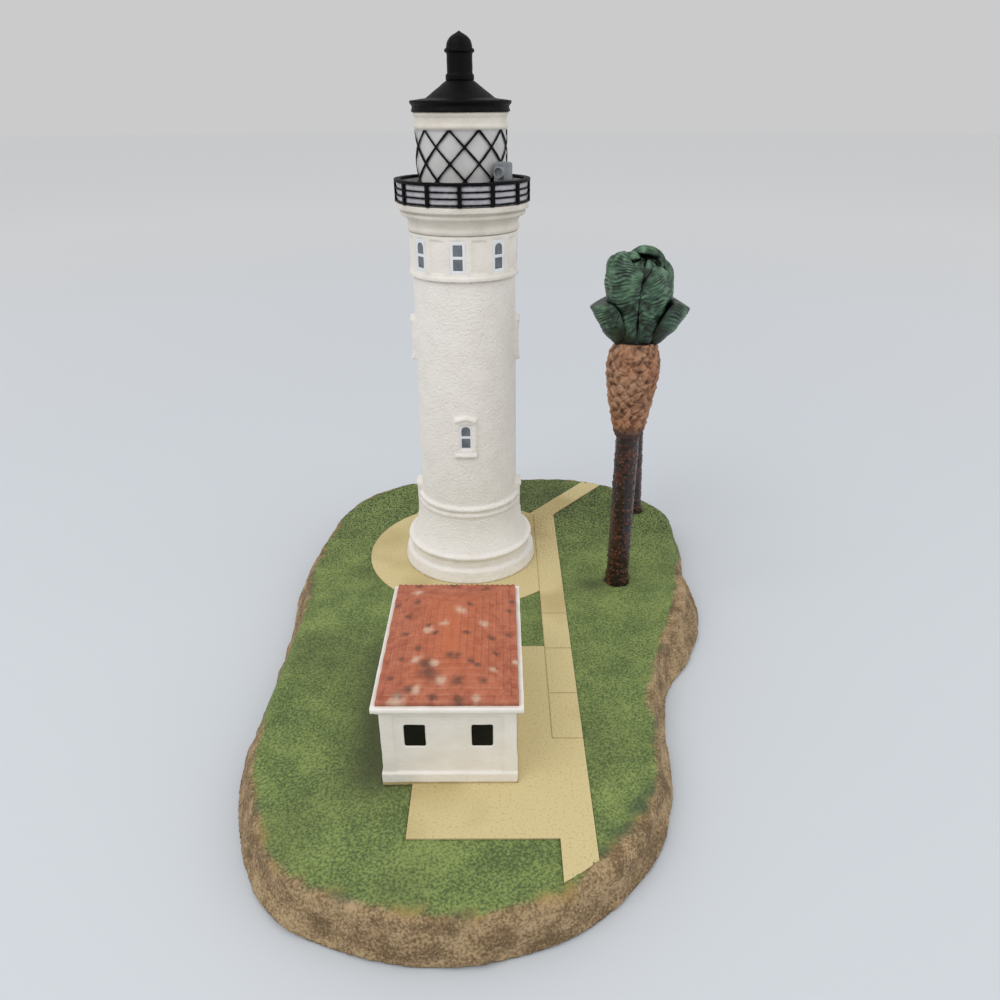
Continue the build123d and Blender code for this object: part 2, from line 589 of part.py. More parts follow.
# Lattice: crossing diagonal glazing bars round the drum, a thin sleeve pierced by rows of diamonds
with BuildPart() as lantern_lattice:
    lattice_radius = LANTERN_RADIUS + LATTICE_PROUD
    with BuildSketch(Plane.XY.offset(GALLERY_FLOOR)):
        with Locations((TOWER_X, TOWER_Y)):
            Circle(lattice_radius)
            Circle(LANTERN_RADIUS + GLUE_GAP, mode=Mode.SUBTRACT)
    extrude(amount=GLAZING_HEIGHT)
    half_width = lattice_radius * math.sin(math.pi / LATTICE_COUNT)
    half_height = DIAMOND_HEIGHT / 2
    to_side = half_width * half_height / math.hypot(half_width, half_height)
    opening = 1 - LATTICE_BAR / 2 / to_side
    diamonds = []
    for row in range(math.ceil(GLAZING_HEIGHT / half_height) + 1):
        for column in range(LATTICE_COUNT):
            turn = LATTICE_TURN + (column + row / 2) * 360 / LATTICE_COUNT
            diamonds.append(tower_side(turn, lattice_radius, GLAZING_TOP - row * half_height))
    with BuildSketch(*diamonds):
        with BuildLine():
            Polyline(
                (half_width * opening, 0), (0, half_height * opening), (-half_width * opening, 0),
                (0, -half_height * opening), close=True,
            )
        make_face()
    extrude(amount=-LANTERN_RADIUS / 2, mode=Mode.SUBTRACT)
save(lantern_lattice, "lantern_lattice")

# Lantern roof: grooved eave and a low cone
with BuildPart() as lantern_roof:
    with BuildSketch(tower_section(LANTERN_TOP)):
        with BuildLine():
            roof_rise = EAVE_HEIGHT + ROOF_RISE
            Polyline(
                (0, TENON_HEIGHT + GLUE_GAP), (SOCKET_RADIUS, TENON_HEIGHT + GLUE_GAP), (SOCKET_RADIUS, 0),
                (EAVE_FOOT_RADIUS, 0), (EAVE_NECK_RADIUS, EAVE_HEIGHT / 2),
                (EAVE_RADIUS, EAVE_HEIGHT - EAVE_LIP), (EAVE_RADIUS, EAVE_HEIGHT),
                (ROOF_FOOT_RADIUS, EAVE_HEIGHT + EAVE_LIP), (VENT_COLLAR_RADIUS, roof_rise),
                (VENT_TENON_RADIUS + GLUE_GAP, roof_rise),
                (VENT_TENON_RADIUS + GLUE_GAP, roof_rise - VENT_TENON - GLUE_GAP),
                (0, roof_rise - VENT_TENON - GLUE_GAP), close=True,
            )
        make_face()
    revolve(axis=TOWER_AXIS)
save(lantern_roof, "lantern_roof")

# Roof vent: collared stack under an ogee cap
with BuildPart() as roof_vent:
    with BuildSketch(tower_section(ROOF_TOP)):
        with BuildLine():
            cap_foot = VENT_COLLAR + VENT_STACK
            cap_top = cap_foot + VENT_CAP
            Polyline(
                (0, cap_top + VENT_DOME), (0, -VENT_TENON), (VENT_TENON_RADIUS, -VENT_TENON),
                (VENT_TENON_RADIUS, 0), (VENT_COLLAR_RADIUS, 0), (VENT_COLLAR_RADIUS, VENT_COLLAR),
                (VENT_RADIUS, VENT_COLLAR), (VENT_RADIUS, cap_foot), (VENT_CAP_RADIUS, cap_foot),
                (VENT_CAP_RADIUS, cap_top), (VENT_DOME_RADIUS, cap_top),
            )
            Spline(
                (VENT_DOME_RADIUS, cap_top), (VENT_DOME_RADIUS * 0.62, cap_top + VENT_DOME * 0.68),
                (0, cap_top + VENT_DOME), tangents=[(0, 1), (-1, 1)],
            )
        make_face()
    revolve(axis=TOWER_AXIS)
save(roof_vent, "roof_vent")

# Fog signal: a small case on a stand with a horn, on the gallery beside the lantern
with BuildPart() as fog_signal:
    signal_foot = around_tower(SIGNAL_RADIUS, SIGNAL_ANGLE, GALLERY_FLOOR)
    signal_frame = Plane(signal_foot, x_dir=heading(SIGNAL_ANGLE), z_dir=(0, 0, 1))
    with BuildSketch(signal_frame):
        Rectangle(SIGNAL_STAND_WIDTH, SIGNAL_STAND_WIDTH)
    extrude(amount=SIGNAL_STAND)
    with BuildSketch(signal_frame.offset(SIGNAL_STAND)):
        Rectangle(SIGNAL_SIZE, SIGNAL_SIZE)
    extrude(amount=SIGNAL_HEIGHT)
    chamfer(fog_signal.faces().sort_by(Axis.Z)[-1].edges(), SIGNAL_CHAMFER)
    horn_root = signal_foot + Vector(0, 0, SIGNAL_STAND + SIGNAL_HEIGHT / 2)
    horn_mouth = horn_root + heading(HORN_ANGLE) * HORN_LENGTH
    with BuildSketch(Plane(horn_root, z_dir=heading(HORN_ANGLE))):
        Circle(HORN_THROAT_RADIUS)
    with BuildSketch(Plane(horn_mouth, z_dir=heading(HORN_ANGLE))):
        Circle(HORN_RADIUS)
    loft()
    with BuildSketch(Plane(horn_mouth, z_dir=heading(HORN_ANGLE))):
        Circle(HORN_BORE_RADIUS)
    extrude(amount=-HORN_BORE_DEPTH, mode=Mode.SUBTRACT)
save(fog_signal, "fog_signal")


def house_wall(side):
    """Plane of one outer wall of the house: 0 near, 1 right, 2 far, 3 left. Its Y is up from the table."""
    out = heading(side * 90 - 90)
    reach = (HOUSE_WIDTH if side % 2 else HOUSE_LENGTH) / 2
    return Plane(Vector(HOUSE_X, HOUSE_Y, 0) + out * reach, x_dir=heading(side * 90), z_dir=out)


# House walls: plinth, corner pilasters, sunk wall panels and dark windows
with BuildPart() as house_walls:
    with BuildSketch(Plane.XY.offset(HOUSE_FOOT)):
        house_plan(0)
    extrude(amount=HOUSE_EAVE - HOUSE_FOOT)
    with BuildSketch(Plane.XY.offset(HOUSE_FOOT)):
        house_plan(HOUSE_PLINTH_PROUD)
    extrude(amount=HOUSE_SEAT + PATH_RISE + HOUSE_PLINTH)
    for side in range(4):
        wall_length = HOUSE_LENGTH if side % 2 else HOUSE_WIDTH
        window_count = SIDE_WINDOWS if side % 2 else END_WINDOWS
        window_spacing = SIDE_WINDOW_SPACING if side % 2 else END_WINDOW_SPACING
        with BuildSketch(house_wall(side)):
            with Locations((0, PAVING_TOP + HOUSE_PLINTH)):
                Rectangle(
                    wall_length - 2 * PILASTER_WIDTH, WALL_TOP - WALL_BAND - HOUSE_PLINTH,
                    align=(Align.CENTER, Align.MIN),
                )
        extrude(amount=-PANEL_RECESS, mode=Mode.SUBTRACT)
        with BuildSketch(house_wall(side)):
            with Locations((0, PAVING_TOP + HOUSE_WINDOW_SILL + HOUSE_WINDOW_HEIGHT / 2)):
                with GridLocations(window_spacing, 0, window_count, 1):
                    Rectangle(HOUSE_WINDOW_WIDTH, HOUSE_WINDOW_HEIGHT)
        extrude(amount=-HOUSE_WINDOW_DEPTH, mode=Mode.SUBTRACT)
    with BuildSketch(Plane.XY.offset(HOUSE_EAVE)):
        house_plan(-WALL_TENON_MARGIN)
    extrude(amount=WALL_TENON)
save(house_walls, "house_walls")

# House cornice: a stepped slab that caps the walls
with BuildPart() as house_cornice:
    with BuildSketch(Plane.XY.offset(HOUSE_EAVE)):
        house_plan(CORNICE_OVERHANG - CORNICE_STEP)
    extrude(amount=HOUSE_CORNICE)
    with BuildSketch(Plane.XY.offset(HOUSE_EAVE + CORNICE_STEP)):
        house_plan(CORNICE_OVERHANG)
    extrude(amount=HOUSE_CORNICE - CORNICE_STEP)
    with BuildSketch(Plane.XY.offset(HOUSE_EAVE)):
        house_plan(GLUE_GAP - WALL_TENON_MARGIN)
    extrude(amount=WALL_TENON + GLUE_GAP, mode=Mode.SUBTRACT)
save(house_cornice, "house_cornice")

# House roof: a low hip roof, each course of tiles a lipped step that runs round all four slopes
with BuildPart() as house_roof:
    eave_margin = CORNICE_OVERHANG - TILE_MARGIN
    course_run = (HOUSE_WIDTH / 2 + eave_margin - RIDGE_WIDTH / 2) / TILE_COURSES
    with BuildSketch(Plane.XY.offset(HOUSE_EAVE + HOUSE_CORNICE)):
        house_plan(eave_margin)
    extrude(amount=TILE_EDGE - COURSE_LIP)
    for course in range(TILE_COURSES):
        course_foot = HOUSE_EAVE + HOUSE_CORNICE + TILE_EDGE - COURSE_LIP
        course_foot += course * (COURSE_LIP + COURSE_SLOPE)
        course_edge = eave_margin - course * course_run
        with BuildSketch(Plane.XY.offset(course_foot)):
            house_plan(course_edge)
        extrude(amount=COURSE_LIP)
        with BuildSketch(Plane.XY.offset(course_foot + COURSE_LIP)):
            house_plan(course_edge)
        with BuildSketch(Plane.XY.offset(course_foot + COURSE_LIP + COURSE_SLOPE)):
            house_plan(course_edge - course_run)
        loft(ruled=True)
save(house_roof, "house_roof")


def palm_section(frame):
    """Plane through a palm's axis, its X outwards and its Y up the trunk."""
    return Plane(frame.origin, x_dir=frame.x_dir, z_dir=-frame.y_dir)


def frond(frame, foot, turn, height, spread, width, thickness, cup, curl, droop):
    """One leaf: six-sided sections with bent edges, lofted along a curve that leaves the heart."""
    spine = []
    for section in range(FROND_SECTIONS):
        step = section / (FROND_SECTIONS - 1)
        reach = FROND_ROOT + (spread - FROND_ROOT) * math.sin(math.pi / 2 * curl * step)
        rise = foot + height * math.sin(math.pi / 2 * droop * step)
        spine.append(heading(turn) * reach + Vector(0, 0, rise))
    sections = []
    for section, point in enumerate(spine):
        before = spine[max(section - 1, 0)]
        after = spine[min(section + 1, FROND_SECTIONS - 1)]
        fullness = math.sin(math.pi * (0.14 + 0.7 * section / (FROND_SECTIONS - 1)))
        middle = frame.from_local_coords(point)
        across = frame.from_local_coords(point + heading(turn + 90)) - middle
        along = frame.from_local_coords(point + after - before) - middle
        with BuildSketch(Plane(middle, x_dir=across, z_dir=along)) as outline:
            edge = width / 2 * fullness
            bend = cup * fullness
            upper = thickness / 2 * fullness + bend / 4
            lower = -thickness / 2 * fullness + bend / 4
            Polygon(
                (edge, bend), (edge / 2, upper), (-edge / 2, upper),
                (-edge, bend), (-edge / 2, lower), (edge / 2, lower), align=None,
            )
        sections.append(outline.sketch)
    loft(sections, ruled=True)


def make_palm(frame, trunk_height, name):
    """Trunk, boot, crown and the steel pin that strings them together and pegs them to the base."""
    section = palm_section(frame)
    axis = Axis(frame.origin, frame.z_dir)
    boot_top = trunk_height + BOOT_HEIGHT

    with BuildPart() as trunk:
        with BuildSketch(section):
            with BuildLine():
                Polyline(
                    (TRUNK_RADIUS, TRUNK_FOOT_FLARE), (TRUNK_RADIUS, trunk_height),
                    (PIN_BORE_RADIUS, trunk_height), (PIN_BORE_RADIUS, -TRUNK_RADIUS),
                    (TRUNK_FOOT_RADIUS, -TRUNK_RADIUS), (TRUNK_FOOT_RADIUS, 0),
                )
                TangentArc(
                    (TRUNK_RADIUS, TRUNK_FOOT_FLARE), (TRUNK_FOOT_RADIUS, 0), tangent=(0, -1),
                )
            make_face()
        revolve(axis=axis)
        split(bisect_by=Plane.XY.offset(LAWN_TOP), keep=Keep.TOP)
    save(trunk, f"palm_trunk_{name}")

    with BuildPart() as boot:
        with BuildSketch(section):
            with BuildLine():
                Polyline(
                    (BOOT_NECK_RADIUS, boot_top), (PIN_BORE_RADIUS, boot_top),
                    (PIN_BORE_RADIUS, trunk_height), (BOOT_FOOT_RADIUS, trunk_height),
                )
                belly = (BOOT_RADIUS, trunk_height + BOOT_BELLY)
                Line((BOOT_FOOT_RADIUS, trunk_height), belly)
                TangentArc(
                    belly, (BOOT_NECK_RADIUS, boot_top), tangent=(BOOT_RADIUS - BOOT_FOOT_RADIUS, BOOT_BELLY),
                )
            make_face()
        revolve(axis=axis)
    save(boot, f"palm_boot_{name}")

    with BuildPart() as crown:
        with BuildSketch(section):
            Polygon(
                (0, boot_top), (HEART_RADIUS, boot_top), (HEART_TOP_RADIUS, boot_top + HEART_HEIGHT),
                (0, boot_top + HEART_HEIGHT), align=None,
            )
        revolve(axis=axis)
        for turn in UPRIGHT_TURNS:
            frond(
                frame, boot_top + FROND_FOOT, turn, UPRIGHT_HEIGHT, UPRIGHT_SPREAD, UPRIGHT_WIDTH,
                UPRIGHT_THICKNESS, UPRIGHT_CUP, curl=1.45, droop=1,
            )
        for turn in SIDE_FROND_TURNS:
            frond(
                frame, boot_top + FROND_FOOT, turn, SIDE_FROND_HEIGHT, SIDE_FROND_SPREAD, SIDE_FROND_WIDTH,
                SIDE_FROND_THICKNESS, SIDE_FROND_CUP, curl=0.65, droop=1.5,
            )
        with BuildSketch(frame.offset(boot_top)):
            Circle(PIN_BORE_RADIUS)
        extrude(amount=PIN_IN_CROWN + GLUE_GAP, mode=Mode.SUBTRACT)
    save(crown, f"palm_crown_{name}")

    with BuildPart() as pin:
        with BuildSketch(frame.offset(-PIN_IN_BASE)):
            Circle(PIN_RADIUS)
        extrude(amount=PIN_IN_BASE + boot_top + PIN_IN_CROWN)
    save(pin, f"palm_pin_{name}")


make_palm(FRONT_PALM, FRONT_TRUNK_HEIGHT, "front")
make_palm(REAR_PALM, REAR_TRUNK_HEIGHT, "rear")
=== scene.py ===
import logging
import math
from collections.abc import Sequence
from dataclasses import dataclass
from enum import Enum

import bmesh
import bpy
import numpy as np
from mathutils import Matrix, Vector, kdtree, noise


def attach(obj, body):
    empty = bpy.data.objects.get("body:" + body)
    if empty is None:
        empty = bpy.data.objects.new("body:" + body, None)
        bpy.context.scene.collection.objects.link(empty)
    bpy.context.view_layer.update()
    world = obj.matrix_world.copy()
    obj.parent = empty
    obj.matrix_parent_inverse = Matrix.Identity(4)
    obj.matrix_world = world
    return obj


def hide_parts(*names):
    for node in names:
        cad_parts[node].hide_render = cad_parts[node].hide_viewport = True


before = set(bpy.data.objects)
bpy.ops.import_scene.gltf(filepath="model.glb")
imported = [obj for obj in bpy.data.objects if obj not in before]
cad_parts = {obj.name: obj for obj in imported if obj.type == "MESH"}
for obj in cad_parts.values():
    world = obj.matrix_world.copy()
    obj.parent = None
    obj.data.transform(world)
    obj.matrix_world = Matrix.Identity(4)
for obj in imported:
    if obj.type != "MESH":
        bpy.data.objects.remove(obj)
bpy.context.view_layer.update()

log = logging.getLogger("figurine")

MM = 0.001
UP = np.array([0, 0, 1])
Dab = tuple[float, float, float]  # place right and far from a middle, and radius, in mm
Nudge = tuple[float, float, float, float, float]  # place, push right and far, and reach, in mm
Spot = tuple[float, float, float, float]  # middle and half widths, right and far, in mm
RockField = tuple[float, float, float, float, float]  # a spot and the width of rock that it adds, in mm

# Places that more than one sub-assembly needs, in mm
LAWN_TOP = 12.5
FRONT_PALM = (41.3, 21.0)
REAR_PALM = (55.0, 76.0)

# Sockets of a Mix node that mixes colours, and of one that mixes plain values
MIX_FACTOR, MIX_A, MIX_B, MIX_RESULT = 0, 6, 7, 2
VALUE_A, VALUE_B, VALUE_RESULT = 2, 3, 0

ACRYLIC_IOR = 1.47
CORNER_STEPS = 6  # straight bits round the corner of a pane
CORNER_SAMPLES = 8  # rays with which the painted shade looks for corners


class Slot(Enum):
    """Material slots of the part's record."""

    LAWN = "lawn_paint"
    FELT = "green_felt"
    WHITE = "white_paint"
    GREY = "grey_paint"
    BLACK = "black_paint"
    SIGNAL = "signal_grey"
    TILE = "tile_red"
    TRUNK = "trunk_brown"
    BOOT = "boot_tan"
    FROND = "frond_green"


def linear(code: str) -> tuple[float, float, float, float]:
    """Turn an sRGB colour into linear light.

    Args:
        code: the colour as six hexadecimal digits.

    Returns:
        Red, green, blue and alpha.
    """
    parts = [int(code[at : at + 2], 16) / 255 for at in (0, 2, 4)]
    light = [part / 12.92 if part <= 0.04045 else ((part + 0.055) / 1.055) ** 2.4 for part in parts]
    return (light[0], light[1], light[2], 1.0)


def per_mm(size: float) -> float:
    """Texture scale whose pattern repeats about once in a size in millimetres."""
    return 1 / (size * MM)


def add_node(
    tree: bpy.types.NodeTree,
    kind: str,
    inputs: dict[str | int, object] | None = None,
    stops: Sequence[tuple[float, tuple[float, float, float, float]]] = (),
    **settings: object,
) -> bpy.types.Node:
    """Add one node with its settings and links.

    Args:
        tree: the material's or the world's nodes.
        kind: Blender's name of the node.
        inputs: a value or another node's output for each input, by name or number.
        stops: places and colours of a colour ramp, its two ends before any stop between them.
        settings: the node's own properties.

    Returns:
        The new node.
    """
    made = tree.nodes.new(kind)
    for name, value in settings.items():
        setattr(made, name, value)
    for name, value in (inputs or {}).items():
        if isinstance(value, bpy.types.NodeSocket):
            tree.links.new(value, made.inputs[name])
        else:
            made.inputs[name].default_value = value
    for number, (place, colour) in enumerate(stops):
        ramp = made.color_ramp.elements
        stop = ramp[number] if number < 2 else ramp.new(place)
        stop.position = place
        stop.color = colour
    return made


@dataclass(frozen=True)
class Finish:
    """What a surface is made of or painted with."""

    name: str

    def shade(self, tree: bpy.types.NodeTree) -> bpy.types.Node:
        """Add the finish's own nodes.

        Args:
            tree: the empty node tree of the material.

        Returns:
            The shader node.
        """
        raise NotImplementedError

    def material(self) -> bpy.types.Material:
        """The finish as a material, made on first use."""
        made = bpy.data.materials.get(self.name)
        if made is None:
            made = bpy.data.materials.new(self.name)
            made.use_nodes = True
            made.node_tree.nodes.clear()
            shader = self.shade(made.node_tree)
            add_node(made.node_tree, "ShaderNodeOutputMaterial", {"Surface": shader.outputs[0]})
        return made


@dataclass(frozen=True)
class PaintedResin(Finish):
    """Cast resin under brushed acrylic paint.

    The casting's stipple shows as fine grain, the coat is a little uneven, and painted shade darkens
    the corners and recesses, so edges look clean and recesses soft and darker.
    """

    coat: str
    thin_coat: str
    shade_colour: str
    shade_amount: float = 0.6
    shade_from: float = 0.85  # openness at which the painted shade starts
    shade_reach: float = 1.6  # mm from a corner
    cloud: float = 9.0  # mm
    grain: float = 0.8  # mm, drawn coarser than the real stipple so that it shows
    grain_depth: float = 0.1  # mm
    roughness: float = 0.55
    shine: float = 0.5

    def shade(self, tree: bpy.types.NodeTree) -> bpy.types.Node:
        """Uneven coat, painted shade in the corners and the stipple's grain."""
        place = add_node(tree, "ShaderNodeTexCoord").outputs["Object"]
        cloud = add_node(
            tree, "ShaderNodeTexNoise", {"Vector": place, "Scale": per_mm(self.cloud), "Detail": 4.0}
        )
        coat = add_node(
            tree,
            "ShaderNodeValToRGB",
            {"Fac": cloud.outputs["Fac"]},
            [(0.35, linear(self.thin_coat)), (0.62, linear(self.coat))],
        )
        # Painted shade: darker paint in corners, recesses and next to other parts
        corner = add_node(
            tree,
            "ShaderNodeAmbientOcclusion",
            {"Distance": self.shade_reach * MM},
            samples=CORNER_SAMPLES,
        )
        hollow_shade = add_node(
            tree,
            "ShaderNodeMapRange",
            {
                "Value": corner.outputs["AO"],
                "From Min": self.shade_from,
                "From Max": 0.35,
                "To Max": self.shade_amount,
            },
        )
        colour = add_node(
            tree,
            "ShaderNodeMix",
            {MIX_FACTOR: hollow_shade.outputs[0], MIX_A: coat.outputs["Color"], MIX_B: linear(self.shade_colour)},
            data_type="RGBA",
        )
        grain = add_node(
            tree, "ShaderNodeTexNoise", {"Vector": place, "Scale": per_mm(self.grain), "Detail": 2.0}
        )
        bump = add_node(
            tree,
            "ShaderNodeBump",
            {"Strength": 0.6, "Distance": self.grain_depth * MM, "Height": grain.outputs["Fac"]},
        )
        return add_node(
            tree,
            "ShaderNodeBsdfPrincipled",
            {
                "Base Color": colour.outputs[MIX_RESULT],
                "Roughness": self.roughness,
                "IOR": ACRYLIC_IOR,
                "Specular IOR Level": self.shine,
                "Normal": bump.outputs["Normal"],
            },
        )


@dataclass(frozen=True)
class GroundPaint(Finish):
    """Stippled resin ground, sponged green on the lawn and sandy brown on the rock.

    The lawn shows fine bright and dark dots over broad yellow-green and dark patches. The rock shows
    pink and ochre lumps with coarse sand grain, and the two paints meet in a ragged edge.
    """

    turf_dark: str = "55643B"
    turf_mid: str = "6E7F49"
    turf_light: str = "879758"
    turf_shade: str = "474B33"
    rock_dark: str = "6C583E"
    rock_mid: str = "8E7758"
    rock_light: str = "AE9673"
    ochre: str = "A68C55"
    moss: str = "3C4C3B"
    contact_shade: str = "3E3C28"
    turf_deep: str = "2B3620"
    dot: float = 0.65  # mm, sponge dots
    dot_share: float = 0.65  # of the dots in the lawn's colour, the patches have the rest
    dot_depth: float = 0.35  # mm
    patch: float = 11.0  # mm
    lump: float = 6.0  # mm
    contact_shade_reach: float = 1.3  # mm, of the painted shade at the feet of what stands on the ground

    def shade(self, tree: bpy.types.NodeTree) -> bpy.types.Node:
        """Lawn and rock colours, joined by the masks that the mesh carries."""
        place = add_node(tree, "ShaderNodeTexCoord").outputs["Object"]
        masks = {
            name: add_node(tree, "ShaderNodeAttribute", attribute_name=name).outputs["Fac"]
            for name in ("turf", "shade", "ochre", "moss", "dense")
        }
        patch = add_node(
            tree, "ShaderNodeTexNoise", {"Vector": place, "Scale": per_mm(self.patch), "Detail": 3.0}
        )
        dot = add_node(
            tree, "ShaderNodeTexNoise", {"Vector": place, "Scale": per_mm(self.dot), "Detail": 1.5}
        )
        lump = add_node(
            tree, "ShaderNodeTexNoise", {"Vector": place, "Scale": per_mm(self.lump), "Detail": 4.0}
        )
        level = add_node(
            tree,
            "ShaderNodeMix",
            {MIX_FACTOR: self.dot_share, VALUE_A: patch.outputs["Fac"], VALUE_B: dot.outputs["Fac"]},
        )
        turf = add_node(
            tree,
            "ShaderNodeValToRGB",
            {"Fac": level.outputs[VALUE_RESULT]},
            [(0.38, linear(self.turf_dark)), (0.62, linear(self.turf_light)), (0.5, linear(self.turf_mid))],
        )
        shaded = add_node(
            tree,
            "ShaderNodeMix",
            {MIX_FACTOR: masks["shade"], MIX_A: turf.outputs["Color"], MIX_B: linear(self.turf_shade)},
            data_type="RGBA",
        )
        sand = add_node(
            tree, "ShaderNodeMath", {0: lump.outputs["Fac"], 1: dot.outputs["Fac"]}, operation="ADD"
        )
        sand_half = add_node(tree, "ShaderNodeMath", {0: sand.outputs[0], 1: 0.5}, operation="MULTIPLY")
        rock = add_node(
            tree,
            "ShaderNodeValToRGB",
            {"Fac": sand_half.outputs[0]},
            [(0.4, linear(self.rock_dark)), (0.6, linear(self.rock_light)), (0.5, linear(self.rock_mid))],
        )
        ground = add_node(
            tree,
            "ShaderNodeMix",
            {MIX_FACTOR: masks["turf"], MIX_A: rock.outputs["Color"], MIX_B: shaded.outputs[MIX_RESULT]},
            data_type="RGBA",
        )
        # Painted shade: a dark line at the feet of paths, walls and trunks
        corner = add_node(
            tree,
            "ShaderNodeAmbientOcclusion",
            {"Distance": self.contact_shade_reach * MM},
            samples=CORNER_SAMPLES,
        )
        line = add_node(
            tree,
            "ShaderNodeMapRange",
            {"Value": corner.outputs["AO"], "From Min": 0.8, "From Max": 0.45, "To Max": 0.8},
        )
        colour = ground.outputs[MIX_RESULT]
        pits = add_node(
            tree,
            "ShaderNodeMapRange",
            {"Value": dot.outputs["Fac"], "From Min": 0.52, "From Max": 0.4, "To Max": masks["dense"]},
        )
        layers = (
            (pits.outputs[0], self.turf_deep), (masks["ochre"], self.ochre), (masks["moss"], self.moss),
            (line.outputs[0], self.contact_shade),
        )
        for mask, paint in layers:
            colour = add_node(
                tree,
                "ShaderNodeMix",
                {MIX_FACTOR: mask, MIX_A: colour, MIX_B: linear(paint)},
                data_type="RGBA",
            ).outputs[MIX_RESULT]
        bump = add_node(
            tree,
            "ShaderNodeBump",
            {"Strength": 0.8, "Distance": self.dot_depth * MM, "Height": dot.outputs["Fac"]},
        )
        return add_node(
            tree,
            "ShaderNodeBsdfPrincipled",
            {
                "Base Color": colour,
                "Roughness": 0.82,
                "IOR": ACRYLIC_IOR,
                "Specular IOR Level": 0.3,
                "Normal": bump.outputs["Normal"],
            },
        )


@dataclass(frozen=True)
class SandPaint(Finish):
    """Cream sand paint of the paths: matt, finely speckled, browner in airbrushed patches."""

    cream: str = "D0C08F"
    brown: str = "BCAA79"
    speck: str = "8F7A52"
    patch: float = 30.0  # mm
    grit: float = 0.65  # mm
    grit_depth: float = 0.15  # mm
    joint_shade_reach: float = 0.7  # mm
    worn_place: tuple[float, float, float] = (18, 66, 13)  # mm, middle of the browner stretch
    worn_reach: float = 40.0  # mm
    worn_core: float = 0.3  # share of that reach which is wholly browner
    # Values in the worn stretch and away from it
    worn_shift: tuple[float, float] = (0.04, 0.0)
    speck_shares: tuple[float, float] = (1.0, 0.35)
    speck_starts: tuple[float, float] = (0.58, 0.46)

    def shade(self, tree: bpy.types.NodeTree) -> bpy.types.Node:
        """Airbrushed patches, grit, and painted shade in the scored joints and at the feet of walls."""
        place = add_node(tree, "ShaderNodeTexCoord").outputs["Object"]
        patch = add_node(
            tree, "ShaderNodeTexNoise", {"Vector": place, "Scale": per_mm(self.patch), "Detail": 2.0}
        )
        middle = [value * MM for value in self.worn_place]
        apart = add_node(tree, "ShaderNodeVectorMath", {0: place, 1: middle}, operation="DISTANCE")
        worn, speck_share, speck_start = (
            add_node(
                tree,
                "ShaderNodeMapRange",
                {
                    "Value": apart.outputs["Value"],
                    "From Min": self.worn_core * self.worn_reach * MM,
                    "From Max": self.worn_reach * MM,
                    "To Min": near,
                    "To Max": far,
                },
            ).outputs[0]
            for near, far in (self.worn_shift, self.speck_shares, self.speck_starts)
        )
        lowered = add_node(
            tree, "ShaderNodeMath", {0: patch.outputs["Fac"], 1: worn}, operation="SUBTRACT"
        )
        coat = add_node(
            tree,
            "ShaderNodeValToRGB",
            {"Fac": lowered.outputs[0]},
            [(0.36, linear(self.brown)), (0.52, linear(self.cream))],
        )
        grit = add_node(
            tree, "ShaderNodeTexNoise", {"Vector": place, "Scale": per_mm(self.grit), "Detail": 1.0}
        )
        specks = add_node(
            tree,
            "ShaderNodeMapRange",
            {
                "Value": grit.outputs["Fac"],
                "From Min": speck_start,
                "From Max": 0.25,
                "To Max": speck_share,
            },
        )
        speckled = add_node(
            tree,
            "ShaderNodeMix",
            {MIX_FACTOR: specks.outputs[0], MIX_A: coat.outputs["Color"], MIX_B: linear(self.speck)},
            data_type="RGBA",
        )
        # Painted shade in the scored joints and at the feet of walls
        corner = add_node(
            tree,
            "ShaderNodeAmbientOcclusion",
            {"Distance": self.joint_shade_reach * MM},
            samples=CORNER_SAMPLES,
        )
        joint_shade = add_node(
            tree,
            "ShaderNodeMapRange",
            {"Value": corner.outputs["AO"], "From Min": 0.92, "From Max": 0.5, "To Max": 0.26},
        )
        colour = add_node(
            tree,
            "ShaderNodeMix",
            {MIX_FACTOR: joint_shade.outputs[0], MIX_A: speckled.outputs[MIX_RESULT], MIX_B: linear(self.speck)},
            data_type="RGBA",
        )
        bump = add_node(
            tree,
            "ShaderNodeBump",
            {"Strength": 0.5, "Distance": self.grit_depth * MM, "Height": grit.outputs["Fac"]},
        )
        return add_node(
            tree,
            "ShaderNodeBsdfPrincipled",
            {
                "Base Color": colour.outputs[MIX_RESULT],
                "Roughness": 0.8,
                "IOR": ACRYLIC_IOR,
                "Specular IOR Level": 0.3,
                "Normal": bump.outputs["Normal"],
            },
        )


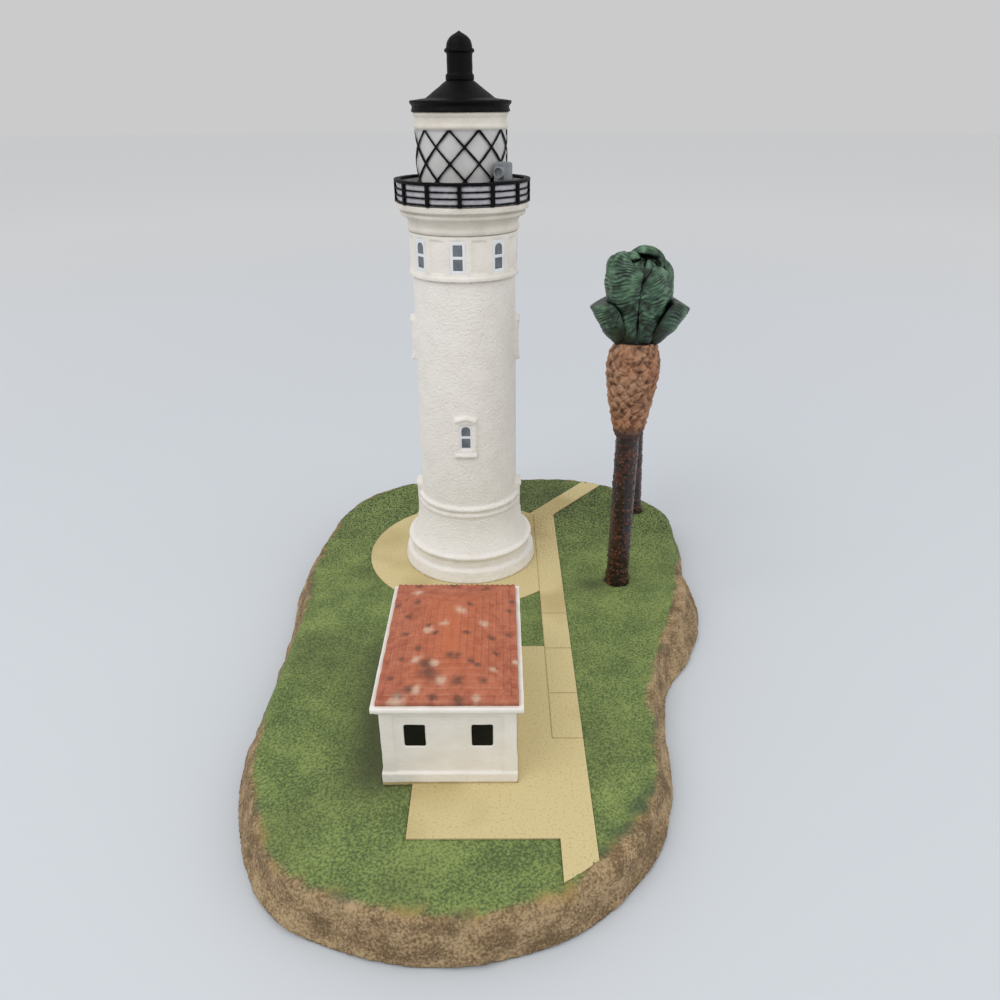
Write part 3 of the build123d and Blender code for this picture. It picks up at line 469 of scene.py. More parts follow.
@dataclass(frozen=True)
class TerracottaPaint(Finish):
    """Terracotta acrylic, chalky on the tiles' lips, warmer along the ridge, dabbed with lime and soot."""

    clay: str = "B86E52"
    clay_deep: str = "9A5039"
    glow: str = "C06A42"
    chalk: str = "C48A6C"
    soot: str = "6B4436"
    lime: str = "D6BDA6"
    cloud: float = 3.0  # mm
    pore: float = 0.7  # mm
    pore_depth: float = 0.1  # mm

    def shade(self, tree: bpy.types.NodeTree) -> bpy.types.Node:
        """Clay colours under the layers whose masks the mesh carries."""
        place = add_node(tree, "ShaderNodeTexCoord").outputs["Object"]
        cloud = add_node(
            tree,
            "ShaderNodeTexNoise",
            {"Vector": place, "Scale": per_mm(self.cloud), "Detail": 5.0, "Roughness": 0.65},
        )
        colour = add_node(
            tree,
            "ShaderNodeValToRGB",
            {"Fac": cloud.outputs["Fac"]},
            [(0.35, linear(self.clay_deep)), (0.6, linear(self.clay))],
        ).outputs["Color"]
        layers = (("glow", self.glow), ("lip", self.chalk), ("soot", self.soot), ("lime", self.lime))
        for name, paint in layers:
            mask = add_node(tree, "ShaderNodeAttribute", attribute_name=name).outputs["Fac"]
            colour = add_node(
                tree,
                "ShaderNodeMix",
                {MIX_FACTOR: mask, MIX_A: colour, MIX_B: linear(paint)},
                data_type="RGBA",
            ).outputs[MIX_RESULT]
        grain = add_node(tree, "ShaderNodeTexNoise", {"Vector": place, "Scale": per_mm(self.pore)})
        bump = add_node(
            tree,
            "ShaderNodeBump",
            {"Strength": 0.5, "Distance": self.pore_depth * MM, "Height": grain.outputs["Fac"]},
        )
        return add_node(
            tree,
            "ShaderNodeBsdfPrincipled",
            {"Base Color": colour, "Roughness": 0.68, "IOR": ACRYLIC_IOR, "Normal": bump.outputs["Normal"]},
        )


@dataclass(frozen=True)
class ShadedRelief(Finish):
    """Carved resin, its grooves painted dark as shade and its ridges painted lighter as highlight."""

    ridge: str
    body: str
    groove: str
    foot: str = ""  # paint at the lower end, fading upwards
    tint: str = ""  # second paint in soft patches
    patch: float = 5.0  # mm
    roughness: float = 0.5
    gloss: float = 0.0
    shade_amount: float = 0.0  # painted shade, in the groove colour, in the deep gaps between forms
    shade_reach: float = 5.0  # mm
    pore: float = 0.6  # mm
    pore_depth: float = 0.1  # mm

    def shade(self, tree: bpy.types.NodeTree) -> bpy.types.Node:
        """Colours from the relief that the mesh carries: painted shade in the grooves, painted highlight on
        the ridges.
        """
        place = add_node(tree, "ShaderNodeTexCoord").outputs["Object"]
        relief = add_node(tree, "ShaderNodeAttribute", attribute_name="relief").outputs["Fac"]
        patch = add_node(
            tree, "ShaderNodeTexNoise", {"Vector": place, "Scale": per_mm(self.patch), "Detail": 4.0}
        )
        uneven = add_node(
            tree,
            "ShaderNodeMapRange",
            {
                "Value": patch.outputs["Fac"],
                "From Min": 0.3,
                "From Max": 0.7,
                "To Min": -0.18,
                "To Max": 0.18,
            },
        )
        level = add_node(tree, "ShaderNodeMath", {0: relief, 1: uneven.outputs[0]}, operation="ADD")
        colour = add_node(
            tree,
            "ShaderNodeValToRGB",
            {"Fac": level.outputs[0]},
            [(0.12, linear(self.groove)), (0.92, linear(self.ridge)), (0.5, linear(self.body))],
        ).outputs["Color"]
        if self.shade_amount:
            # Painted shade in the deep gaps between forms
            corner = add_node(
                tree,
                "ShaderNodeAmbientOcclusion",
                {"Distance": self.shade_reach * MM},
                samples=CORNER_SAMPLES,
            )
            gap_shade = add_node(
                tree,
                "ShaderNodeMapRange",
                {
                    "Value": corner.outputs["AO"],
                    "From Min": 0.75,
                    "From Max": 0.25,
                    "To Max": self.shade_amount,
                },
            )
            colour = add_node(
                tree,
                "ShaderNodeMix",
                {MIX_FACTOR: gap_shade.outputs[0], MIX_A: colour, MIX_B: linear(self.groove)},
                data_type="RGBA",
            ).outputs[MIX_RESULT]
        if self.tint:
            spread = add_node(
                tree, "ShaderNodeTexNoise", {"Vector": place, "Scale": per_mm(2 * self.patch), "Detail": 2.0}
            )
            tinted = add_node(
                tree,
                "ShaderNodeMapRange",
                {"Value": spread.outputs["Fac"], "From Min": 0.42, "From Max": 0.62, "To Max": 0.4},
            )
            colour = add_node(
                tree,
                "ShaderNodeMix",
                {MIX_FACTOR: tinted.outputs[0], MIX_A: colour, MIX_B: linear(self.tint)},
                data_type="RGBA",
                blend_type="SOFT_LIGHT",
            ).outputs[MIX_RESULT]
        if self.foot:
            fade = add_node(tree, "ShaderNodeAttribute", attribute_name="fade").outputs["Fac"]
            colour = add_node(
                tree,
                "ShaderNodeMix",
                {MIX_FACTOR: fade, MIX_A: colour, MIX_B: linear(self.foot)},
                data_type="RGBA",
            ).outputs[MIX_RESULT]
        grain = add_node(tree, "ShaderNodeTexNoise", {"Vector": place, "Scale": per_mm(self.pore)})
        bump = add_node(
            tree,
            "ShaderNodeBump",
            {"Strength": 0.4, "Distance": self.pore_depth * MM, "Height": grain.outputs["Fac"]},
        )
        return add_node(
            tree,
            "ShaderNodeBsdfPrincipled",
            {
                "Base Color": colour,
                "Roughness": self.roughness,
                "IOR": ACRYLIC_IOR,
                "Coat Weight": self.gloss,
                "Coat Roughness": 0.25,
                "Normal": bump.outputs["Normal"],
            },
        )


@dataclass(frozen=True)
class WoolFelt(Finish):
    """Pressed wool felt: matt, fibrous, with a soft sheen at a flat angle."""

    wool: str = "2E4A34"
    fibre: str = "3F6147"
    strand: float = 0.5  # mm
    pile: float = 0.3  # mm

    def shade(self, tree: bpy.types.NodeTree) -> bpy.types.Node:
        """Matted fibres and sheen."""
        place = add_node(tree, "ShaderNodeTexCoord").outputs["Object"]
        strand = add_node(
            tree,
            "ShaderNodeTexNoise",
            {"Vector": place, "Scale": per_mm(self.strand), "Detail": 3.0, "Distortion": 2.0},
        )
        colour = add_node(
            tree,
            "ShaderNodeValToRGB",
            {"Fac": strand.outputs["Fac"]},
            [(0.3, linear(self.wool)), (0.7, linear(self.fibre))],
        )
        bump = add_node(
            tree,
            "ShaderNodeBump",
            {"Strength": 0.7, "Distance": self.pile * MM, "Height": strand.outputs["Fac"]},
        )
        return add_node(
            tree,
            "ShaderNodeBsdfPrincipled",
            {
                "Base Color": colour.outputs["Color"],
                "Roughness": 0.95,
                "Sheen Weight": 0.4,
                "Sheen Roughness": 0.5,
                "Normal": bump.outputs["Normal"],
            },
        )


# The third colour of each paint is the painted shade in its corners and recesses
WHITE = PaintedResin(
    "white_acrylic_on_resin", "EFEAE4", "EAE4DD", "BCB2A2",
    cloud=6.0, grain=0.75, grain_depth=0.65, shade_amount=0.45,
)
WALL_WHITE = PaintedResin(
    "brushed_white_acrylic", "EDE8E1", "E7E1D9", "B8AE9D", cloud=6.0, grain_depth=0.16
)
ROOM_WHITE = PaintedResin(
    "white_acrylic_with_shaded_recesses", "EDE8E0", "E5DFD6", "9C907C",
    cloud=6.0, grain_depth=0.3, shade_amount=0.9, shade_reach=1.2, shade_from=0.98,
)
MOULDING_WHITE = PaintedResin(
    "white_acrylic_with_painted_shade", "E2DCD2", "D3CCC0", "8F8573", shade_amount=0.85, shade_reach=2.4, grain_depth=0.3
)
SASH_WHITE = PaintedResin("cool_white_acrylic", "E9EAEC", "DFE1E4", "A3A8AD", grain_depth=0.04)
GLAZING = PaintedResin(
    "pearl_grey_acrylic", "C9C9C7", "BEBCBB", "6E6E71", shade_amount=0.75, shade_reach=1.3, grain_depth=0.05
)
PANE_GREY = PaintedResin("slate_grey_acrylic", "737880", "5F646C", "34373C", cloud=2.5, grain_depth=0.03)
PARAPET_GREY = PaintedResin(
    "lilac_grey_acrylic", "C9C7CC", "B6B4BA", "605F66", shade_amount=0.8, shade_reach=0.9, cloud=3.0
)
SIGNAL_GREY = PaintedResin("steel_grey_acrylic", "85898C", "74787C", "3C4043", cloud=3.0, grain_depth=0.05)
BLACK = PaintedResin(
    "black_satin_enamel", "0A0A0C", "070709", "030303",
    cloud=4.0, grain=0.7, grain_depth=0.12, roughness=0.5, shine=0.12,
)
WINDOW_BLACK = PaintedResin(
    "black_window_enamel", "14160F", "0E100B", "060606", grain_depth=0.02, roughness=0.6, shine=0.15
)
GROUND = GroundPaint("sponged_ground_paint")
SAND = SandPaint("cream_sand_paint")
CLAY = TerracottaPaint("terracotta_acrylic")
# In these finishes the groove colour is painted shade and the ridge colour is painted highlight
BARK = ShadedRelief("lacquered_bark", "6C3C2B", "4C2319", "1C0D08", patch=4.0, roughness=0.32, gloss=0.2)
BOOT = ShadedRelief(
    "leaf_bases_with_painted_light_and_shade", "AE866A", "8C6448", "4A2D1E", foot="43302C", tint="9A6E3A", roughness=0.66
)
LEAF = ShadedRelief(
    "palm_green_with_painted_shade", "64866A", "2F4B38", "0C140F", patch=4.0, roughness=0.44, shade_amount=0.95
)
FELT = WoolFelt("green_wool_felt")


def grain(points: np.ndarray, size: float, seed: int = 0) -> np.ndarray:
    """Smooth noise at points.

    Args:
        points: places in millimetres, one row each.
        size: width of a lump in millimetres.
        seed: number of the pattern.

    Returns:
        A value from about -1 to 1 for each point.
    """
    shift = Vector((17.3, 5.9, 31.7)) * seed
    return np.array([noise.noise(Vector(point) + shift) for point in (points / size).tolist()])


def ease(value: np.ndarray, low: float, high: float) -> np.ndarray:
    """Smooth step from 0 at low to 1 at high."""
    step = np.clip((value - low) / (high - low), 0, 1)
    return step * step * (3 - 2 * step)


def oval(
    x: np.ndarray, y: np.ndarray, right: float, far: float, wide: float, deep: float
) -> np.ndarray:
    """How far points lie inside a soft oval spot.

    Args:
        x: the points' places to the right in millimetres.
        y: their places away from the viewer.
        right: place of the spot's middle.
        far: place of the spot's middle.
        wide: its half width to the right.
        deep: its half width away from the viewer.

    Returns:
        A number for each point, 1 in the middle and 0 well outside.
    """
    return np.exp(-(((x - right) / wide) ** 2) - ((y - far) / deep) ** 2)


def scatter(cell: np.ndarray, seed: float) -> np.ndarray:
    """One steady random number from 0 to 1 for each whole cell number."""
    return np.modf(np.abs(np.sin(cell * 12.9898 + seed * 78.233) * 43758.5453))[0]


def new_piece(
    name: str, points: np.ndarray, faces: Sequence[Sequence[int]], finishes: Sequence[Finish]
) -> bpy.types.Object:
    """Make a smooth-shaded mesh object.

    Args:
        name: the piece's name.
        points: places in millimetres.
        faces: point numbers round each face.
        finishes: the materials, the first of which covers every face.

    Returns:
        The new object, linked to the scene.
    """
    mesh = bpy.data.meshes.new(name)
    mesh.from_pydata((np.asarray(points) * MM).tolist(), [], faces)
    return finish_mesh(name, mesh, finishes)


def finish_mesh(name: str, mesh: bpy.types.Mesh, finishes: Sequence[Finish]) -> bpy.types.Object:
    """Turn a mesh into a smooth-shaded object with materials.

    Args:
        name: the piece's name.
        mesh: its mesh, in metres.
        finishes: the materials, in order.

    Returns:
        The new object, linked to the scene.
    """
    mesh.name = name
    mesh.materials.clear()
    for finish in finishes:
        mesh.materials.append(finish.material())
    mesh.shade_smooth()
    piece = bpy.data.objects.new(name, mesh)
    bpy.context.scene.collection.objects.link(piece)
    return piece


def place(piece: bpy.types.Object, slot: Slot, *replaced: str) -> bpy.types.Object:
    """Let a piece ride on the figurine and hide the CAD nodes that it takes the place of.

    Args:
        piece: the new piece.
        slot: not used.
        replaced: CAD nodes that it takes the place of.

    Returns:
        The same piece.
    """
    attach(piece, "root")
    if replaced:
        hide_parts(*replaced)
    log.info("%s: %d faces", piece.name, len(piece.data.polygons))
    return piece


def add_mask(piece: bpy.types.Object, name: str, values: np.ndarray) -> None:
    """Store one number per point for the piece's material.

    Args:
        piece: the piece.
        name: the mask's name.
        values: a number from 0 to 1 for each point.
    """
    mask = piece.data.attributes.new(name, "FLOAT", "POINT")
    mask.data.foreach_set("value", np.asarray(values, np.float32))


def grid_faces(rows: int, columns: int) -> list[tuple[int, int, int, int]]:
    """Quads of a grid that closes on itself round its columns.

    Args:
        rows: number of rings of points.
        columns: points in each ring.

    Returns:
        Point numbers of each quad.
    """
    quads = []
    for row in range(rows - 1):
        for column in range(columns):
            beside = (column + 1) % columns
            low, high = row * columns, (row + 1) * columns
            quads.append((low + column, low + beside, high + beside, high + column))
    return quads


def capped(rows: int, columns: int) -> list[tuple[int, ...]]:
    """Quads of a closed grid with a face over its first and its last ring."""
    first = tuple(reversed(range(columns)))
    last = tuple(range((rows - 1) * columns, rows * columns))
    return [*grid_faces(rows, columns), first, last]


def points_of(mesh: bpy.types.Mesh) -> np.ndarray:
    """A mesh's points in millimetres, one row each."""
    flat = np.empty(len(mesh.vertices) * 3, np.float32)
    mesh.vertices.foreach_get("co", flat)
    return flat.reshape(-1, 3).astype(float) / MM


def normals_of(mesh: bpy.types.Mesh) -> np.ndarray:
    """A mesh's outward directions, one row for each point."""
    flat = np.empty(len(mesh.vertices) * 3, np.float32)
    mesh.vertex_normals.foreach_get("vector", flat)
    return flat.reshape(-1, 3).astype(float)


def move_points(mesh: bpy.types.Mesh, points: np.ndarray) -> None:
    """Give a mesh's points new places in millimetres."""
    mesh.vertices.foreach_set("co", (points * MM).astype(np.float32).ravel())
    mesh.update()


def cast_mesh(node: str, voxel: float) -> bpy.types.Mesh:
    """Fine even mesh of a CAD node, its edges slightly rounded as in a casting.

    Args:
        node: the CAD node's name.
        voxel: mesh size in millimetres.

    Returns:
        A new mesh in metres.
    """
    rough = bpy.data.objects.new(f"{node}_rough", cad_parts[node].data.copy())
    bpy.context.scene.collection.objects.link(rough)
    even = rough.modifiers.new("even", "REMESH")
    even.mode = "VOXEL"
    even.voxel_size = voxel * MM
    graph = bpy.context.evaluated_depsgraph_get()
    mesh = bpy.data.meshes.new_from_object(rough.evaluated_get(graph))
    bpy.data.objects.remove(rough)
    return mesh


@dataclass
class Casting:
    """A piece cast in one go whose CAD shape is right: remeshed, roughened and painted."""

    node: str
    slot: Slot
    finishes: tuple[Finish, ...]
    voxel: float  # mm
    stipple: float = 0.0  # mm high
    stipple_size: float = 1.2  # mm wide
    sway: float = 0.0  # mm of slow waviness
    sway_size: float = 6.0
    slim: float = 0.0  # mm taken off all round
    frieze_foot: float = math.inf  # level above which the first finish takes over from the second

    def build(self) -> bpy.types.Object:
        """Make the casting and put it in its node's place."""
        mesh = cast_mesh(self.node, self.voxel)
        points = points_of(mesh)
        rise = self.stipple * grain(points, self.stipple_size, 1) - self.slim
        rise += self.sway * grain(points, self.sway_size, 2) if self.sway else 0
        move_points(mesh, points + normals_of(mesh) * np.reshape(rise, (-1, 1)))
        piece = finish_mesh(f"{self.node}_cast", mesh, self.finishes)
        if len(self.finishes) > 1:
            for face in mesh.polygons:
                face.material_index = int(face.center.z < self.frieze_foot * MM)
        return place(piece, self.slot, self.node)


@dataclass
class Mound:
    """The base: rock skirt, lawn, paths and the felt under it."""

    voxel: float = 0.8
    lawn_top: float = LAWN_TOP
    path_top: float = 13.0
    path_sink: float = 0.4  # the casting lies this far below the paths
    path_wall: float = 1.1  # height of the paths' edges, their feet in the ground
    stipple: float = 0.3
    stipple_size: float = 1.3
    crag: float = 1.1
    crag_size: float = 7.0
    grit: float = 0.4
    grit_size: float = 1.7
    brow_width: float = 0.8  # bare rock in from the brow
    felt_edge: float = 0.2  # roughness of the felt's cut edge
    felt_flat: tuple[float, float] = (0.134, 0.212)  # size of the felt in metres
    # How far the felt's edge lies in, and at which level
    felt_profile: tuple[tuple[float, float], ...] = (
        (0.5, 0.0), (0.1, 0.12), (0.0, 0.5), (0.1, 0.88), (0.5, 1.0),
    )
    nudges: tuple[Nudge, ...] = (
        (-52, -98, -2.0, -3.0, 20), (-18, -112, 0, -1.2, 22), (20, -103, 0.6, -1.2, 18),
        (38, -84, 0.8, -0.6, 12), (-72, 34, -3.6, 0, 24), (67, 0, -3.2, 0, 20),
        (70, 38, -2.6, 0, 12), (60, 68, 3.0, 2.4, 13), (48, -37, 1.4, 0, 11),
    )
    palm_places: tuple[tuple[float, float], ...] = (FRONT_PALM, REAR_PALM)
    collar: float = 0.8  # height of the putty tufts round the trunks' feet
    collar_radius: float = 5.4
    collar_width: float = 1.7
    mossy_shore: Spot = (34, -84, 12, 16)
    palm_shade: Spot = (33, 19, 7, 4)
    far_shade: Spot = (12, 92, 26, 16)
    rock_fields: tuple[RockField, ...] = (
        (66, 8, 15, 24, 5.0), (34, -92, 18, 14, 2.2), (-30, -108, 30, 12, 0.8), (-70, -32, 16, 20, -5.0),
        (68, 50, 12, 18, -5.0),
    )

    def inland(self, points: np.ndarray, out: np.ndarray) -> np.ndarray:
        """How far points lie in from the brow where the lawn turns into the slope.

        Args:
            points: the casting's points in millimetres.
            out: its outward directions.

        Returns:
            Millimetres, negative on the slope.
        """
        z = points[:, 2]
        slope = (z < self.lawn_top - 0.3) & (out[:, 2] > 0.12) & (out[:, 2] < 0.93)
        brow = points[slope & (z > self.lawn_top - 1.6)]
        tree = kdtree.KDTree(len(brow))
        for number, point in enumerate(brow[:, :2].tolist()):
            tree.insert((*point, 0), number)
        tree.balance()
        away = np.array([tree.find((*point, 0))[2] for point in points[:, :2].tolist()])
        return np.where(z > self.lawn_top - 0.9, away, -0.42 * (self.lawn_top - z))

    def ground(self) -> bpy.types.Object:
        """The casting: stippled lawn, craggy rock and the masks for their paint."""
        mesh = cast_mesh("base_casting", self.voxel)
        points, out = points_of(mesh), normals_of(mesh)
        x, y, z = points.T
        inland = self.inland(points, out)
        brow = self.brow_width + sum(width * oval(x, y, *spot) for *spot, width in self.rock_fields)
        edge = inland - brow + 1.5 * grain(points, 9.0, 3) + 0.8 * grain(points, 3.0, 4)
        turf = ease(edge, -0.9, 0.9) * ease(out[:, 2], -0.2, 0.1)
        above = ease(z, 0.3, 2.0)
        lawn = self.stipple * grain(points, self.stipple_size, 5)
        rock = self.crag * grain(points, self.crag_size, 6) + self.grit * grain(points, self.grit_size, 7)
        rock = rock * (0.35 + 0.65 * ease(-inland, -1.0, 2.0))
        moved = points + out * (above * (turf * lawn + (1 - turf) * rock))[:, None]
        ragged = inland + 1.6 * grain(points, 2.4, 24)
        on_path = (z > self.lawn_top + 0.2) & (out[:, 2] > 0.5) & (ragged > 2.4)
        moved[on_path, 2] = self.path_top - self.path_sink
        rim = 1 - ease(inland, 1.0, 12.0)
        for right, far, push_right, push_far, reach in self.nudges:
            near = rim * np.exp(-((x - right) ** 2 + (y - far) ** 2) / reach**2)
            moved[:, 0] += near * push_right
            moved[:, 1] += near * push_far
        for right, far in self.palm_places:
            ring = np.hypot(x - right, y - far)
            collar = np.exp(-(((ring - self.collar_radius) / self.collar_width) ** 2)) * turf
            moved[:, 2] += self.collar * collar * (0.6 + 0.9 * grain(points, 2.2, 30))
        move_points(mesh, moved)
        piece = finish_mesh("ground", mesh, [GROUND])
        band = np.exp(-((edge / 1.3) ** 2)) * ease(z, 4.0, 7.0)
        shore = oval(x, y, *self.mossy_shore)
        ochre = 0.6 * band * ease(grain(points, 4.5, 8), -0.05, 0.35) * (0.12 + 0.88 * ease(-y, 72.0, 96.0))
        dabbed = np.exp(-(((edge - 1.0) / 2.4) ** 2)) * shore * ease(grain(points, 4.0, 27), -0.35, 0.3)
        moss = np.maximum(0.5 * band * ease(grain(points, 5.0, 9), 0.12, 0.42), 0.85 * dabbed)
        broad = ease(grain(points, 24.0, 10), -0.1, 0.75)
        past_house = np.clip(np.abs(y + 48) - 22, 0, None)  # along the house's left wall
        by_house = oval(x, past_house, -34, 0, 8, 9)
        by_palm = oval(x, y, *self.palm_shade)
        far_lawn = oval(x, y, *self.far_shade)
        shade = np.clip(0.3 * broad + 0.8 * by_house + 0.7 * by_palm + 0.5 * far_lawn, 0, 0.85)
        # Where the sponge left the dark first coat showing: most at the back
        dense = turf * (0.05 + 0.85 * ease(y, 15.0, 85.0))
        masks = {"turf": turf, "shade": shade, "ochre": ochre, "moss": moss, "dense": dense}
        for name, mask in masks.items():
            add_mask(piece, name, mask)
        return place(piece, Slot.LAWN, "base_casting")

    def paths(self) -> bpy.types.Object:
        """The raised sand paths with their scored joints, cut from the CAD base's own faces."""
        work = bmesh.new()
        work.from_mesh(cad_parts["base_casting"].data)
        bmesh.ops.remove_doubles(work, verts=work.verts, dist=0.001 * MM)
        low, high = (self.lawn_top + 0.2) * MM, (self.path_top + 0.05) * MM
        others = [face for face in work.faces if not all(low < v.co.z < high for v in face.verts)]
        bmesh.ops.delete(work, geom=others, context="FACES")
        rim = [edge for edge in work.edges if edge.is_boundary]
        walls = bmesh.ops.extrude_edge_only(work, edges=rim)["geom"]
        for vert in (item for item in walls if isinstance(item, bmesh.types.BMVert)):
            vert.co.z -= self.path_wall * MM
        bmesh.ops.recalc_face_normals(work, faces=work.faces)
        mesh = bpy.data.meshes.new("paths")
        work.to_mesh(mesh)
        work.free()
        piece = finish_mesh("paths", mesh, [SAND])
        mesh.shade_flat()
        return place(piece, Slot.LAWN, "base_casting")

    def felt(self) -> bpy.types.Object:
        """The felt pad, its cut edge soft and slightly uneven."""
        work = bmesh.new()
        work.from_mesh(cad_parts["felt_pad"].data)
        bmesh.ops.remove_doubles(work, verts=work.verts, dist=0.001 * MM)
        bmesh.ops.dissolve_limit(work, angle_limit=math.radians(1), verts=work.verts, edges=work.edges)
        level_faces = [face for face in work.faces if abs(face.normal.z) > 0.9]
        sole = min(level_faces, key=lambda face: face.calc_center_median().z)
        outline = np.array([vert.co[:] for vert in sole.verts]) / MM
        work.free()
        outline = outline[::-1] if self.turns_left(outline) < 0 else outline
        ahead, behind = np.roll(outline, -1, 0), np.roll(outline, 1, 0)
        along = ahead - behind
        outward = np.stack([along[:, 1], -along[:, 0], 0 * along[:, 0]], 1)
        outward /= np.linalg.norm(outward, axis=1)[:, None]
        wobble = self.felt_edge * grain(outline, 2.5, 11)[:, None]
        rings = []
        for inset, level in self.felt_profile:
            ring = outline + outward * (wobble - inset)
            ring[:, 2] = level
            rings.append(ring)
        piece = new_piece("felt_sheet", np.concatenate(rings), capped(len(rings), len(outline)), [FELT])
        place(piece, Slot.FELT, "felt_pad")
        return piece

    @staticmethod
    def turns_left(outline: np.ndarray) -> float:
        """Twice the area inside an outline, positive where it turns left."""
        ahead = np.roll(outline, -1, 0)
        return float(np.sum(outline[:, 0] * ahead[:, 1] - ahead[:, 0] * outline[:, 1]))

    def build(self) -> None:
        """Ground, paths and felt."""
        self.ground()
        self.paths()
        self.felt()


class PaneHead(Enum):
    """How the top of a window pane is shaped: its corners' radius as a share of the width."""

    SQUARE = 0.04
    ARCHED = 0.46


def pane_outline(width: float, height: float, middle: float, head: PaneHead) -> list[tuple[float, float]]:
    """Outline of a pane.

    Args:
        width: its width in millimetres.
        height: its height.
        middle: height of its middle.
        head: the shape of its top.

    Returns:
        Points round the outline, anticlockwise.
    """
    radius = head.value * width
    small = PaneHead.SQUARE.value * width
    half, low, high = width / 2, middle - height / 2, middle + height / 2
    corners = [
        (-half + small, low + small, small, 180),
        (half - small, low + small, small, 270),
        (half - radius, high - radius, radius, 0),
        (-half + radius, high - radius, radius, 90),
    ]
    points = []
    for centre_x, centre_y, bend, start in corners:
        for step in range(CORNER_STEPS + 1):
            turn = math.radians(start + 90 * step / CORNER_STEPS)
            points.append((centre_x + bend * math.cos(turn), centre_y + bend * math.sin(turn)))
    return points


def flat_plate(
    outlines: Sequence[Sequence[tuple[float, float]]], thickness: float, rounding: float
) -> bpy.types.Mesh:
    """A flat plate with holes and softened edges, its front face towards +Z at level 0.

    Args:
        outlines: the outer outline, then the holes, in millimetres.
        thickness: in millimetres.
        rounding: radius of the edges.

    Returns:
        A new mesh in metres.
    """
    curve = bpy.data.curves.new("plate", "CURVE")
    curve.dimensions = "2D"
    curve.fill_mode = "BOTH"
    curve.extrude = (thickness / 2 - rounding) * MM
    curve.bevel_depth = rounding * MM
    curve.bevel_resolution = 1
    curve.offset = -rounding * MM
    for outline in outlines:
        spline = curve.splines.new("POLY")
        spline.points.add(len(outline) - 1)
        for point, (across, up) in zip(spline.points, outline):
            point.co = (across * MM, up * MM, 0, 1)
        spline.use_cyclic_u = True
    rough = bpy.data.objects.new("plate", curve)
    bpy.context.scene.collection.objects.link(rough)
    graph = bpy.context.evaluated_depsgraph_get()
    mesh = bpy.data.meshes.new_from_object(rough.evaluated_get(graph))
    bpy.data.objects.remove(rough)
    mesh.transform(Matrix.Translation((0, 0, -thickness / 2 * MM)))
    return mesh


def joined(meshes: Sequence[bpy.types.Mesh], name: str) -> bpy.types.Mesh:
    """One mesh of several."""
    work = bmesh.new()
    for mesh in meshes:
        work.from_mesh(mesh)
    bmesh.ops.remove_doubles(work, verts=work.verts, dist=0.0005 * MM)
    bmesh.ops.recalc_face_normals(work, faces=work.faces)
    whole = bpy.data.meshes.new(name)
    work.to_mesh(whole)
    work.free()
    return whole


def facing(x: float, y: float, z: float, angle: float) -> Matrix:
    """Frame of an upright wall.

    Args:
        x: place of its middle in millimetres.
        y: place of its middle.
        z: height of its middle.
        angle: direction that it faces, in degrees from +X.

    Returns:
        A matrix whose X runs along the wall, Y up and Z outwards.
    """
    turn = math.radians(angle)
    out = Vector((math.cos(turn), math.sin(turn), 0))
    along = Vector((-out.y, out.x, 0))
    frame_matrix = Matrix((along, Vector((0, 0, 1)), out)).transposed().to_4x4()
    frame_matrix.translation = Vector((x, y, z)) * MM
    return frame_matrix


@dataclass
class Windows:
    """A set of alike windows: a sash frame let into each wall and two panes behind it."""

    name: str
    walls: list[Matrix]
    width: float
    height: float
    pane_width: float
    pane_height: float
    bar: float
    heads: list[PaneHead]
    sash_depth: float = 0.22  # front of the sash behind the wall's face
    sash_thickness: float = 0.3
    sash_rounding: float = 0.07
    pane_depth: float = 0.4
    pane_thickness: float = 0.2
    pane_rounding: float = 0.03
    pane_trim: float = 0.6  # how much smaller than the sash the pane behind it is

    def build(self) -> None:
        """One piece of all the sashes and one of all the panes."""
        sashes, panes = [], []
        half_pitch = (self.pane_height + self.bar) / 2
        for wall, head in zip(self.walls, self.heads):
            frame_edge = pane_outline(self.width, self.height, 0, PaneHead.SQUARE)
            lower = pane_outline(self.pane_width, self.pane_height, -half_pitch, PaneHead.SQUARE)
            upper = pane_outline(self.pane_width, self.pane_height, half_pitch, head)
            sash = flat_plate([frame_edge, lower, upper], self.sash_thickness, self.sash_rounding)
            sash.transform(wall @ Matrix.Translation((0, 0, -self.sash_depth * MM)))
            sashes.append(sash)
            back = pane_outline(
                self.width - self.pane_trim, self.height - self.pane_trim, 0, PaneHead.SQUARE
            )
            pane = flat_plate([back], self.pane_thickness, self.pane_rounding)
            pane.transform(wall @ Matrix.Translation((0, 0, -self.pane_depth * MM)))
            panes.append(pane)
        place(finish_mesh(f"{self.name}_sashes", joined(sashes, "sashes"), [SASH_WHITE]), Slot.WHITE)
        place(finish_mesh(f"{self.name}_panes", joined(panes, "panes"), [PANE_GREY]), Slot.GREY)


